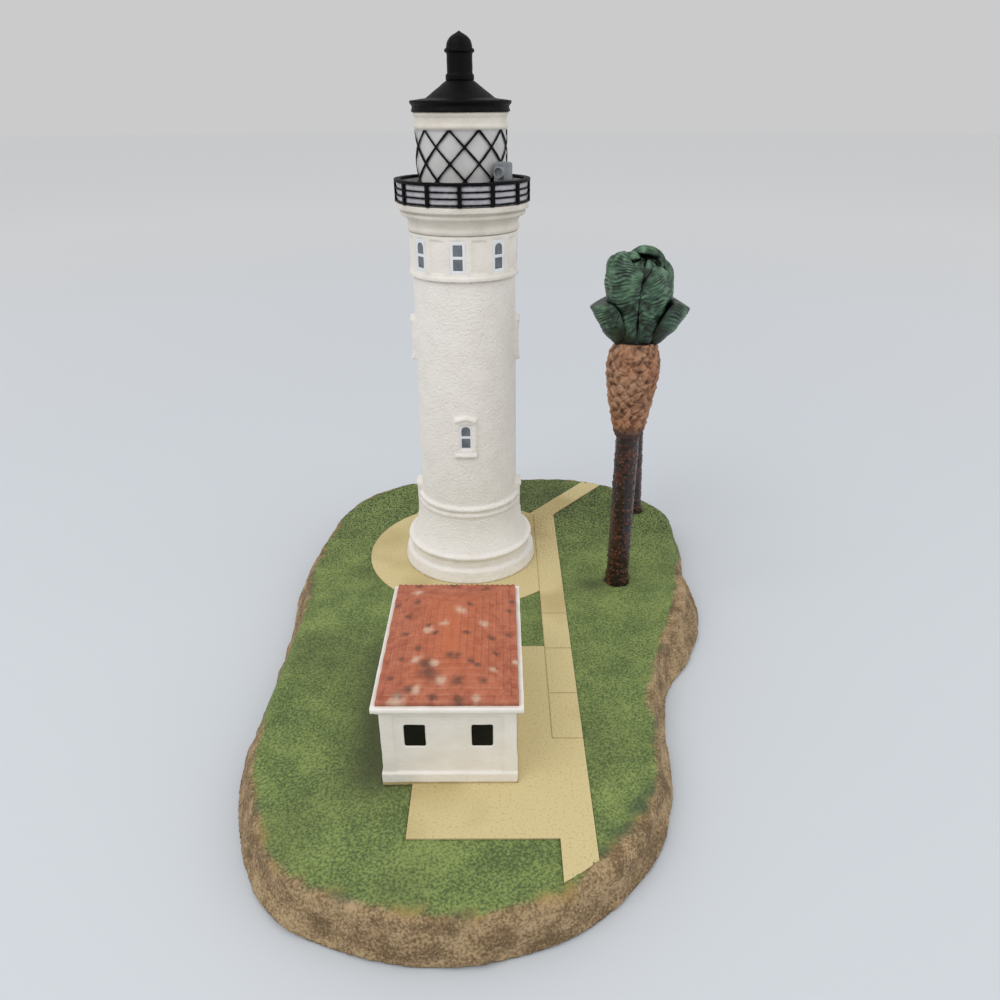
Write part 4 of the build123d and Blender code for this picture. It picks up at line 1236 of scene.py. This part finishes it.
@dataclass
class Tower:
    """The lighthouse itself, from its moulded foot to the vent on the lantern's roof."""

    x: float = -12.0
    y: float = 43.0
    shaft_window_face: float = 17.7
    low_window_face: float = 18.6
    front_window: float = 66.6
    high_window: float = 96.8
    low_window: float = 37.0
    room_face: float = 17.3
    room_window: float = 124.7
    room_bays: int = 8
    room_turn: float = -94.0
    glazing_top: float = 159.6
    shaft_sash: tuple[float, float] = (4.7, 8.9)
    room_sash: tuple[float, float] = (4.8, 9.9)
    pane: tuple[float, float] = (2.9, 3.3)
    bar: float = 0.9

    def wall(self, angle: float, radius: float, height: float) -> Matrix:
        """Frame of a wall that faces out from the tower's axis."""
        turn = math.radians(angle)
        return facing(self.x + radius * math.cos(turn), self.y + radius * math.sin(turn), height, angle)

    def build(self) -> None:
        """Castings, windows and the black metalwork."""
        castings = (
            Casting("tower_shaft", Slot.WHITE, (WHITE,), 0.45, stipple=0.06, stipple_size=1.1),
            Casting(
                "watch_room", Slot.WHITE, (ROOM_WHITE,), 0.3,
                stipple=0.03, stipple_size=1.1, sway=0.05, sway_size=3.0,
            ),
            Casting(
                "gallery_cornice", Slot.WHITE, (MOULDING_WHITE,), 0.3,
                stipple=0.03, stipple_size=1.2, sway=0.07, sway_size=5.0,
            ),
            Casting("gallery_parapet", Slot.GREY, (PARAPET_GREY,), 0.3, stipple=0.03, stipple_size=1.0),
            Casting("gallery_railing", Slot.BLACK, (BLACK,), 0.17, stipple=0.08, stipple_size=0.9, slim=0.05),
            Casting(
                "lantern_drum", Slot.WHITE, (MOULDING_WHITE, GLAZING), 0.35,
                stipple=0.02, stipple_size=1.4, sway=0.04, frieze_foot=self.glazing_top,
            ),
            Casting(
                "lantern_lattice", Slot.BLACK, (BLACK,), 0.15,
                stipple=0.05, stipple_size=1.2, sway=0.12, sway_size=4.0, slim=0.1,
            ),
            Casting("lantern_roof", Slot.BLACK, (BLACK,), 0.3, stipple=0.06, stipple_size=1.0, sway=0.06),
            Casting("roof_vent", Slot.BLACK, (BLACK,), 0.25, stipple=0.05, stipple_size=1.0, sway=0.04),
            Casting(
                "fog_signal", Slot.SIGNAL, (SIGNAL_GREY,), 0.2,
                stipple=0.04, stipple_size=1.0, sway=0.06, sway_size=2.5,
            ),
        )
        for casting in castings:
            casting.build()
        shaft = [self.wall(angle, self.shaft_window_face, self.front_window) for angle in (-90, 90)]
        shaft += [self.wall(angle, self.shaft_window_face, self.high_window) for angle in (0, 180)]
        shaft += [self.wall(angle, self.low_window_face, self.low_window) for angle in (0, 180)]
        arched = [PaneHead.ARCHED] * len(shaft)
        Windows("shaft", shaft, *self.shaft_sash, *self.pane, self.bar, arched).build()
        turns = [self.room_turn + bay * 360 / self.room_bays for bay in range(self.room_bays)]
        room = [self.wall(turn, self.room_face, self.room_window) for turn in turns]
        heads = [PaneHead.ARCHED if bay % 4 else PaneHead.SQUARE for bay in range(self.room_bays)]
        Windows("room", room, *self.room_sash, *self.pane, self.bar, heads).build()


@dataclass
class KeepersHouse:
    """The house in front of the tower."""

    x: float = -13.5
    y: float = -47.8
    width: float = 33.4
    length: float = 50.0
    sand_line: float = 13.4  # paving paint has run up the walls to here
    window_middle: float = 28.0
    window_width: float = 5.2
    window_height: float = 6.8
    window_depth: float = 0.55
    window_thickness: float = 0.6
    window_rounding: float = 0.08
    end_spacing: float = 16.6
    side_spacing: float = 14.0
    tile_foot: float = 38.2
    tile_overhang: float = 0.5
    tile_edge: float = 1.2
    courses: int = 9
    lip: float = 0.25
    slope: float = 0.2
    ridge: float = 0.8
    tile_width: float = 1.5
    tile_crown: float = 0.07  # height of a tile's hump
    eave_crown: float = 0.17  # the same in the lowest course
    tile_lift: float = 0.03
    tile_sway: float = 0.2  # waviness of the courses in plan
    end_columns: int = 110  # points along each end of the roof
    side_columns: int = 160  # and along each side
    # Place up a course, and share of the lip's height that is reached there
    course_steps: tuple[tuple[float, float], ...] = (
        (0.0, 0.0), (0.02, 0.6), (0.1, 1.0), (0.25, 1.0), (0.4, 1.0), (0.55, 1.0), (0.7, 1.0), (0.85, 1.0),
        (0.97, 1.0),
    )
    # Strength of each paint over the clay
    lip_paint: float = 0.2
    glow_paint: float = 0.75
    soot_paint: float = 0.9
    lime_paint: float = 0.65
    lime_dabs: tuple[Dab, ...] = (
        (-10.6, 19.2, 1.3), (2.1, 7.4, 1.5), (-2.2, 1.2, 1.1), (-6.3, -0.3, 1.3), (8.5, 3.2, 1.2),
        (-8.4, -11.9, 1.3), (-3.5, -14.1, 1.2), (-1.8, -19.2, 1.2), (-7.5, -22.0, 1.2), (10.9, -15.2, 0.9),
        (6.9, -24.5, 1.0), (-12.2, -25.4, 2.0), (16.7, -11.0, 1.0),
    )
    soot_dabs: tuple[Dab, ...] = (
        (-11.1, 23.9, 1.0), (-10.4, 14.3, 1.1), (-12.5, 7.8, 1.1), (-6.5, 2.0, 0.9), (-4.2, -2.2, 1.0),
        (-12.3, -0.2, 0.9), (-8.5, -7.5, 1.1), (-12.2, -10.7, 0.9), (0.2, -11.6, 1.1), (2.0, -11.6, 1.0),
        (-5.7, -14.4, 1.9), (-4.8, -17.0, 2.2), (2.4, -19.2, 1.4), (8.7, -19.3, 1.0), (-9.4, -21.8, 1.2),
        (-3.4, -24.1, 1.2), (-11.8, -23.6, 1.1), (-14.2, -17.4, 0.9), (2.8, -25.0, 1.5), (3.9, -2.1, 0.9),
        (4.2, 10.9, 1.0), (10.4, -2.8, 1.0), (14.8, -0.2, 1.0), (5.5, -13.5, 1.0), (7.2, -14.4, 0.9),
        (8.7, 21.9, 1.2), (16.2, 16.0, 1.0), (15.1, 11.2, 0.9), (-16.3, 14.3, 0.9), (-0.9, 24.9, 1.3),
        (11.6, -9.0, 0.8),
    )

    def windows(self) -> bpy.types.Object:
        """Dark panes let into the walls."""
        panes = []
        half_width, half_length = self.width / 2, self.length / 2
        ends = [-self.end_spacing / 2, self.end_spacing / 2]
        sides = [-self.side_spacing, 0, self.side_spacing]
        walls = [((at, -half_length), -90) for at in ends] + [((at, half_length), 90) for at in ends]
        walls += [((half_width, at), 0) for at in sides] + [((-half_width, at), 180) for at in sides]
        for (right, far), angle in walls:
            outline = pane_outline(self.window_width, self.window_height, 0, PaneHead.SQUARE)
            pane = flat_plate([outline], self.window_thickness, self.window_rounding)
            wall = facing(self.x + right, self.y + far, self.window_middle, angle)
            pane.transform(wall @ Matrix.Translation((0, 0, -self.window_depth * MM)))
            panes.append(pane)
        return place(finish_mesh("house_panes", joined(panes, "panes"), [WINDOW_BLACK]), Slot.BLACK)

    def dabs(self, points: np.ndarray, dabs: Sequence[Dab], seed: int) -> np.ndarray:
        """How much paint a set of ragged dabs leaves at points on the roof.

        Args:
            points: places in millimetres.
            dabs: place from the house's middle and radius of each dab.
            seed: number of the ragged pattern.

        Returns:
            A number from 0 to 1 for each point.
        """
        ragged = 1 + 0.5 * grain(points, 1.6, seed)
        cover = np.zeros(len(points))
        for right, far, radius in dabs:
            apart = np.hypot(points[:, 0] - self.x - right, points[:, 1] - self.y - far)
            cover = np.maximum(cover, np.exp(-((apart / (radius * ragged)) ** 2.6)))
        return cover

    def roof(self) -> bpy.types.Object:
        """The hip roof: lipped courses of tiles round all four slopes."""
        half_x, half_y = self.width / 2 + self.tile_overhang, self.length / 2 + self.tile_overhang
        run = (half_x - self.ridge / 2) / self.courses
        across = np.linspace(0, 1, self.end_columns, False)
        along = np.linspace(0, 1, self.side_columns, False)
        right_side, far_end = len(across), len(across) + len(along)
        left_side = far_end + len(across)
        rings, crowns, lips, glows = [], [], [], []
        for course in range(self.courses):
            foot = self.tile_foot + self.tile_edge - self.lip + course * (self.lip + self.slope)
            eave = [] if course else [(0.0, 1 - self.tile_edge / self.lip)]
            for share, lifted in (*eave, *self.course_steps):
                inset = (course + share) * run
                wide, deep = half_x - inset, half_y - inset
                side_x = np.concatenate(
                    [-wide + 2 * wide * across, 0 * along + wide, wide - 2 * wide * across, 0 * along - wide]
                )
                side_y = np.concatenate(
                    [0 * across - deep, -deep + 2 * deep * along, 0 * across + deep, deep - 2 * deep * along]
                )
                level = foot + self.lip * lifted + self.slope * share
                rings.append(np.stack([side_x + self.x, side_y + self.y, 0 * side_x + level], 1))
                travel = np.concatenate(
                    [
                        side_x[:right_side], side_y[right_side:far_end],
                        side_x[far_end:left_side], side_y[left_side:],
                    ]
                )
                tile = np.cos(2 * math.pi * (travel / self.tile_width + 0.5 * (course % 2)))
                crown = self.tile_crown if course else self.eave_crown
                crowns.append(max(lifted, 0) * (crown * tile + self.tile_lift))
                lips.append(np.full(len(travel), self.lip_paint * math.exp(-(((share - 0.12) / 0.1) ** 2))))
                glows.append(np.full(len(travel), self.glow_paint * (inset / half_x) ** 1.5))
        points, columns = np.concatenate(rings), len(rings[0])
        rough = grain(points, 0.9, 13)
        rise = np.concatenate(crowns) + 0.1 * grain(points, 3.2, 12) + 0.06 * rough
        soot = self.soot_paint * self.dabs(points, self.soot_dabs, 14)
        lime = self.lime_paint * self.dabs(points, self.lime_dabs, 15)
        lip = np.clip(np.concatenate(lips) * (1 + 0.9 * rough + 1.2 * grain(points, 6.0, 25)), 0, 1)
        sway = (grain(points, 3.6, 26)[:, None] * (points - np.array([self.x, self.y, 0])))[columns:, :2]
        points[columns:, :2] += self.tile_sway * sway / np.abs(sway).max()
        points[columns:, 2] += rise[columns:]
        piece = new_piece("house_tiles", points, capped(len(rings), columns), [CLAY])
        for name, mask in (("glow", np.concatenate(glows)), ("lip", lip), ("soot", soot), ("lime", lime)):
            add_mask(piece, name, mask)
        return place(piece, Slot.TILE, "house_roof")

    def build(self) -> None:
        """Walls, cornice, panes and tiles."""
        Casting(
            "house_walls", Slot.WHITE, (WALL_WHITE, SAND), 0.25,
            stipple=0.02, sway=0.1, sway_size=4.0, frieze_foot=self.sand_line,
        ).build()
        Casting(
            "house_cornice", Slot.WHITE, (WALL_WHITE,), 0.35, stipple=0.02, sway=0.08, sway_size=4.0
        ).build()
        self.windows()
        self.roof()


@dataclass
class Leaf:
    """One frond: a ribbed blade, folded along its midrib, that leaves the boot and bends over."""

    turn: float
    height: float
    spread: float
    half_arc: float  # from the midrib round to the margin, where the blade is widest
    curl: float  # quarter turns from root to tip in which it swings out and back
    foot: float
    droop: float = 1.0
    delay: float = 1.0  # above 1 it runs outwards first and turns up later
    fold: float = 1.3  # radians from the midrib round to the margin
    slant: float = 0.2  # how far the ribs rise towards the margin
    point: float = 2.4  # how blunt the tip is
    base: float = 0.42  # width at the root, as a share
    root: float = 4.5
    thickness: float = 3.4
    rib_pitch: float = 1.1
    rib_height: float = 0.4
    rows: int = 110
    columns: int = 30

    def surface(self) -> tuple[np.ndarray, np.ndarray]:
        """Points of the closed blade and their relief.

        Returns:
            Rings of points in the palm's own frame in millimetres, and a height from 0 in the
            grooves to 1 on the ribs.
        """
        turn = math.radians(self.turn)
        out = np.array([math.cos(turn), math.sin(turn), 0])
        across = np.array([-math.sin(turn), math.cos(turn), 0])
        along = np.linspace(0, 1, self.rows)
        reach = self.root + (self.spread - self.root) * np.sin(np.pi / 2 * self.curl * along)
        rise = self.foot + self.height * np.sin(np.pi / 2 * self.droop * along) ** self.delay
        spine = out * reach[:, None] + UP * rise[:, None]
        ahead = np.gradient(spine, axis=0)
        length = np.cumsum(np.linalg.norm(ahead, axis=1))
        ahead /= np.linalg.norm(ahead, axis=1)[:, None]
        face = np.cross(across, ahead)
        tip = np.clip((along - 0.55) / 0.45, 0, 1)
        widening = self.base + (1 - self.base) * np.sin(np.pi / 2 * np.clip(along / 0.6, 0, 1))
        shape = widening * np.sqrt(1 - tip**self.point)
        arc = np.maximum(self.half_arc * shape, 0.06)[:, None]
        side = np.cos(np.linspace(np.pi, 0, self.columns))[None, :]
        bend = self.fold * side
        offset, drop = arc / self.fold * np.sin(bend), arc / self.fold * (1 - np.cos(bend))
        sheet = spine[:, None, :] + across * offset[:, :, None] - face[:, None, :] * drop[:, :, None]
        outward = face[:, None, :] * np.cos(bend)[:, :, None] + across * np.sin(bend)[:, :, None]
        shape_of = (self.rows, self.columns)
        wander = grain(sheet.reshape(-1, 3), 3.5, 16).reshape(shape_of)
        uneven = grain(sheet.reshape(-1, 3), 1.3, 17).reshape(shape_of)
        away = arc * np.abs(side)
        phase = (length[:, None] - self.slant * away + wander) / self.rib_pitch
        strength = ease(grain(sheet.reshape(-1, 3), 4.2, 23).reshape(shape_of), -0.3, 0.45)
        wave = 1 - (0.3 + 0.7 * strength) * (0.5 + 0.5 * np.cos(2 * np.pi * phase)) ** 1.3
        wave = wave - 0.3 * (1 - strength) * (0.5 + 0.5 * np.cos(4.6 * np.pi * phase)) ** 1.3
        midrib = np.exp(-((away / 0.7) ** 2)) - 0.8 * np.exp(-((away / 0.16) ** 2))
        margin = np.sqrt(1 - side**2)
        closing = np.sqrt(1 - tip**6)[:, None]
        relief = wave * (0.55 + 0.25 * margin) * (1 - midrib) + 0.8 * midrib + 0.4 * uneven + 0.2 * wander
        # Fronds are painted darker towards their roots, as shade inside the crown
        relief = np.clip(relief, 0, 1) * (0.3 + 0.7 * ease(rise - self.foot, 0.5, 9.0))[:, None]
        lift = (self.rib_height * relief + 0.45 * wander) * closing
        front = sheet + outward * lift[:, :, None]
        back = sheet - outward * (self.thickness * margin * closing + 0.12)[:, :, None]
        rings = np.concatenate([front, back[:, ::-1][:, 1:-1]], axis=1)
        height = np.concatenate([relief, 0.7 * relief[:, ::-1][:, 1:-1]], axis=1)
        return rings, height


@dataclass
class Palm:
    """One palm: bumpy trunk, boot of old leaf bases and a crown of fronds."""

    name: str
    x: float
    y: float
    trunk_height: float
    lean: float = 0.0
    lawn: float = LAWN_TOP
    trunk_radius: float = 3.9
    foot_radius: float = 4.5
    foot_flare: float = 8.0
    bark_columns: int = 132
    bark_step: float = 0.22
    bead: float = 1.25
    bead_columns: int = 20
    bead_height: float = 0.32
    boot_height: float = 31.0
    boot_profile: tuple[tuple[float, float], ...] = (
        (0, 4.1), (0.06, 4.7), (0.23, 5.8), (0.49, 7.3), (0.64, 7.9), (0.77, 8.1), (0.9, 7.4), (1, 5.6),
    )
    scale_columns: int = 11
    scale_rows: float = 15.0
    scale_height: float = 0.95
    crown_sink: float = 1.8  # roots of the fronds below the boot's top
    heart_radius: float = 4.3
    heart_height: float = 26.0
    # Turn, height, spread, half arc and curl of each frond, for upright ones droop and slant as well
    upright_leaves: tuple[tuple[float, ...], ...] = (
        (-46, 25.0, 9.8, 8.6, 1.9, 1.0, 2.2), (12, 26.4, 10.4, 9.0, 1.85, 1.0, 1.6),
        (58, 29.6, 9.4, 10.0, 2.6, 1.2, 0.8), (132, 28.0, 10.0, 10.0, 2.5, 1.2, 0.6),
        (207, 29.2, 10.6, 10.4, 1.86, 1.0, 0.2),
    )
    inner_leaves: tuple[tuple[float, ...], ...] = (
        (100, 26.6, 5.6, 6.4, 2.25), (228, 25.6, 5.4, 6.4, 2.25), (338, 26.4, 5.8, 7.0, 2.1),
        (26, 27.6, 7.4, 8.2, 1.7),
    )
    low_leaves: tuple[tuple[float, ...], ...] = (
        (5, 12.0, 16.0, 13.0, 1.0), (62, 11.8, 15.0, 11.0, 1.0), (116, 11.8, 14.5, 11.0, 1.0),
        (173, 12.2, 14.2, 12.5, 1.0),
    )

    def settle(self, points: np.ndarray) -> np.ndarray:
        """Points of the palm's own frame put where the palm stands."""
        tilt = math.radians(self.lean)
        right = np.array([math.cos(tilt), 0, -math.sin(tilt)])
        far = np.array([0, 1, 0])
        up = np.array([math.sin(tilt), 0, math.cos(tilt)])
        moved = points[:, :1] * right + points[:, 1:2] * far + points[:, 2:] * up
        return moved + np.array([self.x, self.y, self.lawn])

    @staticmethod
    def ring_points(radius: np.ndarray, angle: np.ndarray, level: np.ndarray) -> np.ndarray:
        """Points at radii, angles and levels round the palm's axis."""
        rings = np.stack([radius * np.cos(angle), radius * np.sin(angle), level + 0 * angle], -1)
        return rings.reshape(-1, 3)

    def trunk(self) -> bpy.types.Object:
        """The trunk, covered with staggered beads."""
        columns, rows = self.bark_columns, int(self.trunk_height / self.bark_step)
        angle = np.linspace(0, 2 * np.pi, columns, False)[None, :]
        level = np.linspace(-0.8, self.trunk_height + 0.3, rows)[:, None]
        flare = np.clip(1 - level / self.foot_flare, 0, 1) ** 2
        radius = self.trunk_radius + (self.foot_radius - self.trunk_radius) * flare + 0 * angle
        row = np.floor(level / self.bead)
        turn = self.bead_columns * angle / (2 * np.pi) + 0.5 * (row % 2) + 0.12 * row
        column = np.floor(turn)
        key = np.mod(column, self.bead_columns) + 57 * row
        aside = turn - column - 0.5 + 0.75 * (scatter(key, 1) - 0.5)
        up = level / self.bead - row - 0.5 + 0.75 * (scatter(key, 2) - 0.5)
        size = 0.1 + 1.1 * scatter(key, 3) ** 1.5
        bead = size * np.exp(-(aside**2) / 0.1 - up**2 / 0.08)
        rough = grain(self.ring_points(radius, angle, level), 1.5, 22).reshape(rows, columns)
        radius = radius - 0.15 + self.bead_height * bead + 0.14 * rough
        bead = 0.8 * bead + 0.5 * rough + 0.1
        points = self.ring_points(radius, angle, level)
        piece = new_piece(f"bark_{self.name}", self.settle(points), capped(rows, columns), [BARK])
        # Bead tops take the lighter ridge paint as a painted highlight
        add_mask(piece, "relief", np.clip(bead, 0, 1).ravel())
        return place(piece, Slot.TRUNK, f"palm_trunk_{self.name}")

    def boot(self) -> bpy.types.Object:
        """The boot: rough overlapping leaf bases, their pockets above the tips painted dark as shade."""
        columns, rows = 176, 200
        angle = np.linspace(0, 2 * np.pi, columns, False)[None, :]
        share = np.linspace(0, 1, rows)[:, None]
        level = self.trunk_height + self.boot_height * share
        places, radii = np.array(self.boot_profile).T
        fine_share, window = np.linspace(0, 1, 400), 41
        smooth = np.interp(fine_share, places, radii)
        smooth = np.convolve(np.pad(smooth, window // 2, mode="edge"), np.ones(window) / window, "valid")
        radius = np.interp(share, fine_share, smooth) + 0 * angle
        plain = self.ring_points(radius, angle, level)
        aside, up, fine, nubs = (
            grain(plain, size, seed).reshape(rows, columns)
            for size, seed in ((3.4, 18), (3.0, 19), (1.0, 20), (1.9, 21))
        )
        climb = self.scale_rows * share**0.9 + 0.7 * up
        turn = self.scale_columns * angle / (2 * np.pi) + 0.42 * aside
        left, right = climb / 2 + turn, climb / 2 - turn
        one, two = left - np.floor(left), right - np.floor(right)
        tip = (one + two) / 2
        valley = np.minimum(np.minimum(one, 1 - one), np.minimum(two, 1 - two))
        scale = (0.3 + 0.7 * tip) * (0.6 + 0.4 * np.clip(valley / 0.12, 0, 1))
        scale = scale + 0.3 * fine + 0.45 * nubs
        fade = 1 - ease(share + 0.03 * up, 0.02, 0.16)
        depth = self.scale_height * (1 - 0.45 * ease(share, 0.88, 1.0)) * (1 - 0.5 * fade)
        points = self.ring_points(radius + (scale - 0.4) * depth, angle, level)
        piece = new_piece(f"leaf_bases_{self.name}", self.settle(points), capped(rows, columns), [BOOT])
        add_mask(piece, "relief", np.clip(scale, 0, 1).ravel())
        add_mask(piece, "fade", fade.ravel())
        return place(piece, Slot.BOOT, f"palm_boot_{self.name}")

    def crown(self) -> bpy.types.Object:
        """The crown: upright fronds closed round a heart painted dark as the shade inside the crown, and
        spreading ones at their feet.
        """
        foot = self.trunk_height + self.boot_height - self.crown_sink
        leaves = [Leaf(*sizes[:5], foot, sizes[5], slant=sizes[6]) for sizes in self.upright_leaves]
        leaves += [Leaf(*sizes, foot, slant=1.0, root=2.4, thickness=2.0) for sizes in self.inner_leaves]
        leaves += [
            Leaf(*sizes, foot, delay=1.6, fold=1.5, slant=1.0, base=0.5, thickness=6.0)
            for sizes in self.low_leaves
        ]
        points, faces, reliefs, start = [], [], [], 0
        for leaf in leaves:
            rings, relief = leaf.surface()
            rows, columns = rings.shape[:2]
            faces += [tuple(start + number for number in face) for face in capped(rows, columns)]
            points.append(rings.reshape(-1, 3))
            reliefs.append(relief.ravel())
            start += rows * columns
        # A core painted dark as the shade between the fronds' feet
        heart_rows, heart_columns = 40, 96
        angle = np.linspace(0, 2 * np.pi, heart_columns, False)[None, :]
        share = np.linspace(0, 1, heart_rows)[:, None]
        fold = 0.5 * np.sin(7 * angle + 4 * share)
        radius = (self.heart_radius + fold) * np.sqrt(1.02 - share**4)
        heart = self.ring_points(radius, angle, foot + self.heart_height * share)
        faces += [tuple(start + number for number in face) for face in capped(heart_rows, heart_columns)]
        points.append(heart)
        reliefs.append((0.5 * share**2 * (0.5 + fold)).ravel())
        piece = new_piece(f"fronds_{self.name}", self.settle(np.concatenate(points)), faces, [LEAF])
        add_mask(piece, "relief", np.concatenate(reliefs))
        return place(piece, Slot.FROND, f"palm_crown_{self.name}")

    def build(self) -> None:
        """Trunk, boot and crown."""
        self.trunk()
        self.boot()
        self.crown()


@dataclass
class Studio:
    """Camera, lights and the pale floor."""

    lens: float = 28.08
    sensor: float = 36.0
    pitch: float = 26.82
    roll: float = -0.2
    eye: tuple[float, float, float] = (-0.67, -217.0, 165.8)
    floor_colour: str = "CDD2D8"
    far_floor: str = "DFE0E1"
    far_colour: str = "CBCBCC"
    sky: float = 0.79
    aim: tuple[float, float, float] = (0, 0, 0.07)  # metres, where the lamps point
    floor_rings: tuple[float, ...] = (0.0005, 0.3, 0.6, 1.2, 3.0, 6.0)  # metres
    floor_columns: int = 64

    def camera(self) -> None:
        """The camera at the photograph's viewing angle."""
        data = bpy.data.cameras.new("camera")
        data.lens, data.sensor_width = self.lens, self.sensor
        data.clip_start, data.clip_end = 0.005, 20
        camera = bpy.data.objects.new("camera", data)
        tilt = Matrix.Rotation(math.radians(90 - self.pitch), 4, "X")
        roll = Matrix.Rotation(math.radians(self.roll), 4, "Z")
        camera.matrix_world = Matrix.Translation(Vector(self.eye) * MM) @ tilt @ roll
        bpy.context.scene.collection.objects.link(camera)
        bpy.context.scene.camera = camera

    def lamp(self, name: str, where: tuple[float, float, float], size: float, power: float) -> None:
        """A soft square lamp that points at the figurine.

        Args:
            name: the lamp's name.
            where: its place in metres.
            size: length of its side in metres.
            power: in watts.
        """
        data = bpy.data.lights.new(name, "AREA")
        data.size, data.energy = size, power
        lamp = bpy.data.objects.new(name, data)
        lamp.location = where
        lamp.rotation_euler = (Vector(self.aim) - Vector(where)).to_track_quat("-Z", "Y").to_euler()
        bpy.context.scene.collection.objects.link(lamp)

    def floor(self) -> None:
        """A wide pale floor whose colour drifts to the background's."""
        angle = np.linspace(0, 2 * np.pi, self.floor_columns, False)
        circle = np.stack([np.cos(angle), np.sin(angle), 0 * angle], 1)
        points = np.concatenate([radius * circle for radius in self.floor_rings])
        mesh = bpy.data.meshes.new("floor")
        mesh.from_pydata(points.tolist(), [], grid_faces(len(self.floor_rings), self.floor_columns))
        material = bpy.data.materials.new("pale_floor")
        material.use_nodes = True
        tree = material.node_tree
        tree.nodes.clear()
        place_node = add_node(tree, "ShaderNodeTexCoord").outputs["Object"]
        far = add_node(tree, "ShaderNodeVectorMath", {0: place_node}, operation="LENGTH")
        drift = add_node(
            tree, "ShaderNodeMapRange", {"Value": far.outputs["Value"], "From Min": 0.3, "From Max": 1.2}
        )
        colour = add_node(
            tree,
            "ShaderNodeMix",
            {MIX_FACTOR: drift.outputs[0], MIX_A: linear(self.floor_colour), MIX_B: linear(self.far_floor)},
            data_type="RGBA",
        )
        shader = add_node(
            tree, "ShaderNodeBsdfPrincipled", {"Base Color": colour.outputs[MIX_RESULT], "Roughness": 0.7}
        )
        add_node(tree, "ShaderNodeOutputMaterial", {"Surface": shader.outputs[0]})
        mesh.materials.append(material)
        floor = bpy.data.objects.new("floor", mesh)
        bpy.context.scene.collection.objects.link(floor)

    def world(self) -> None:
        """Even light from all round, with a plain grey background behind it."""
        world = bpy.data.worlds.new("studio")
        world.use_nodes = True
        bpy.context.scene.world = world
        tree = world.node_tree
        tree.nodes.clear()
        path = add_node(tree, "ShaderNodeLightPath")
        seen = add_node(
            tree,
            "ShaderNodeMath",
            {0: path.outputs["Is Camera Ray"], 1: path.outputs["Is Glossy Ray"]},
            operation="MAXIMUM",
        )
        shown = add_node(
            tree,
            "ShaderNodeMath",
            {0: seen.outputs[0], 1: path.outputs["Is Transmission Ray"]},
            operation="MAXIMUM",
        )
        light = add_node(tree, "ShaderNodeBackground", {"Color": linear("FFFFFF"), "Strength": self.sky})
        backdrop = add_node(tree, "ShaderNodeBackground", {"Color": linear(self.far_colour), "Strength": 1.0})
        mixed = add_node(
            tree, "ShaderNodeMixShader", {0: shown.outputs[0], 1: light.outputs[0], 2: backdrop.outputs[0]}
        )
        add_node(tree, "ShaderNodeOutputWorld", {"Surface": mixed.outputs[0]})

    def build(self) -> None:
        """Everything round the figurine."""
        self.camera()
        self.floor()
        self.world()
        self.lamp("key", (-0.5, -0.45, 0.9), size=0.7, power=3.35)
        self.lamp("fill", (0.8, -0.3, 0.6), size=0.9, power=1.8)
        bpy.context.scene.view_settings.view_transform = "Standard"


def corners(box: tuple[Vector, Vector]) -> list[list[float]]:
    """A box as plain lists of numbers."""
    return [[float(value) for value in corner] for corner in box]


def main() -> None:
    """Build the figurine and its studio in order."""
    logging.basicConfig(level=logging.INFO, format="%(message)s")
    Studio().build()
    Mound().build()
    Tower().build()
    KeepersHouse().build()
    Palm("front", *FRONT_PALM, trunk_height=57.0).build()
    Palm("rear", *REAR_PALM, trunk_height=46.0, lean=-2.8).build()


if __name__ == "__main__":
    main()
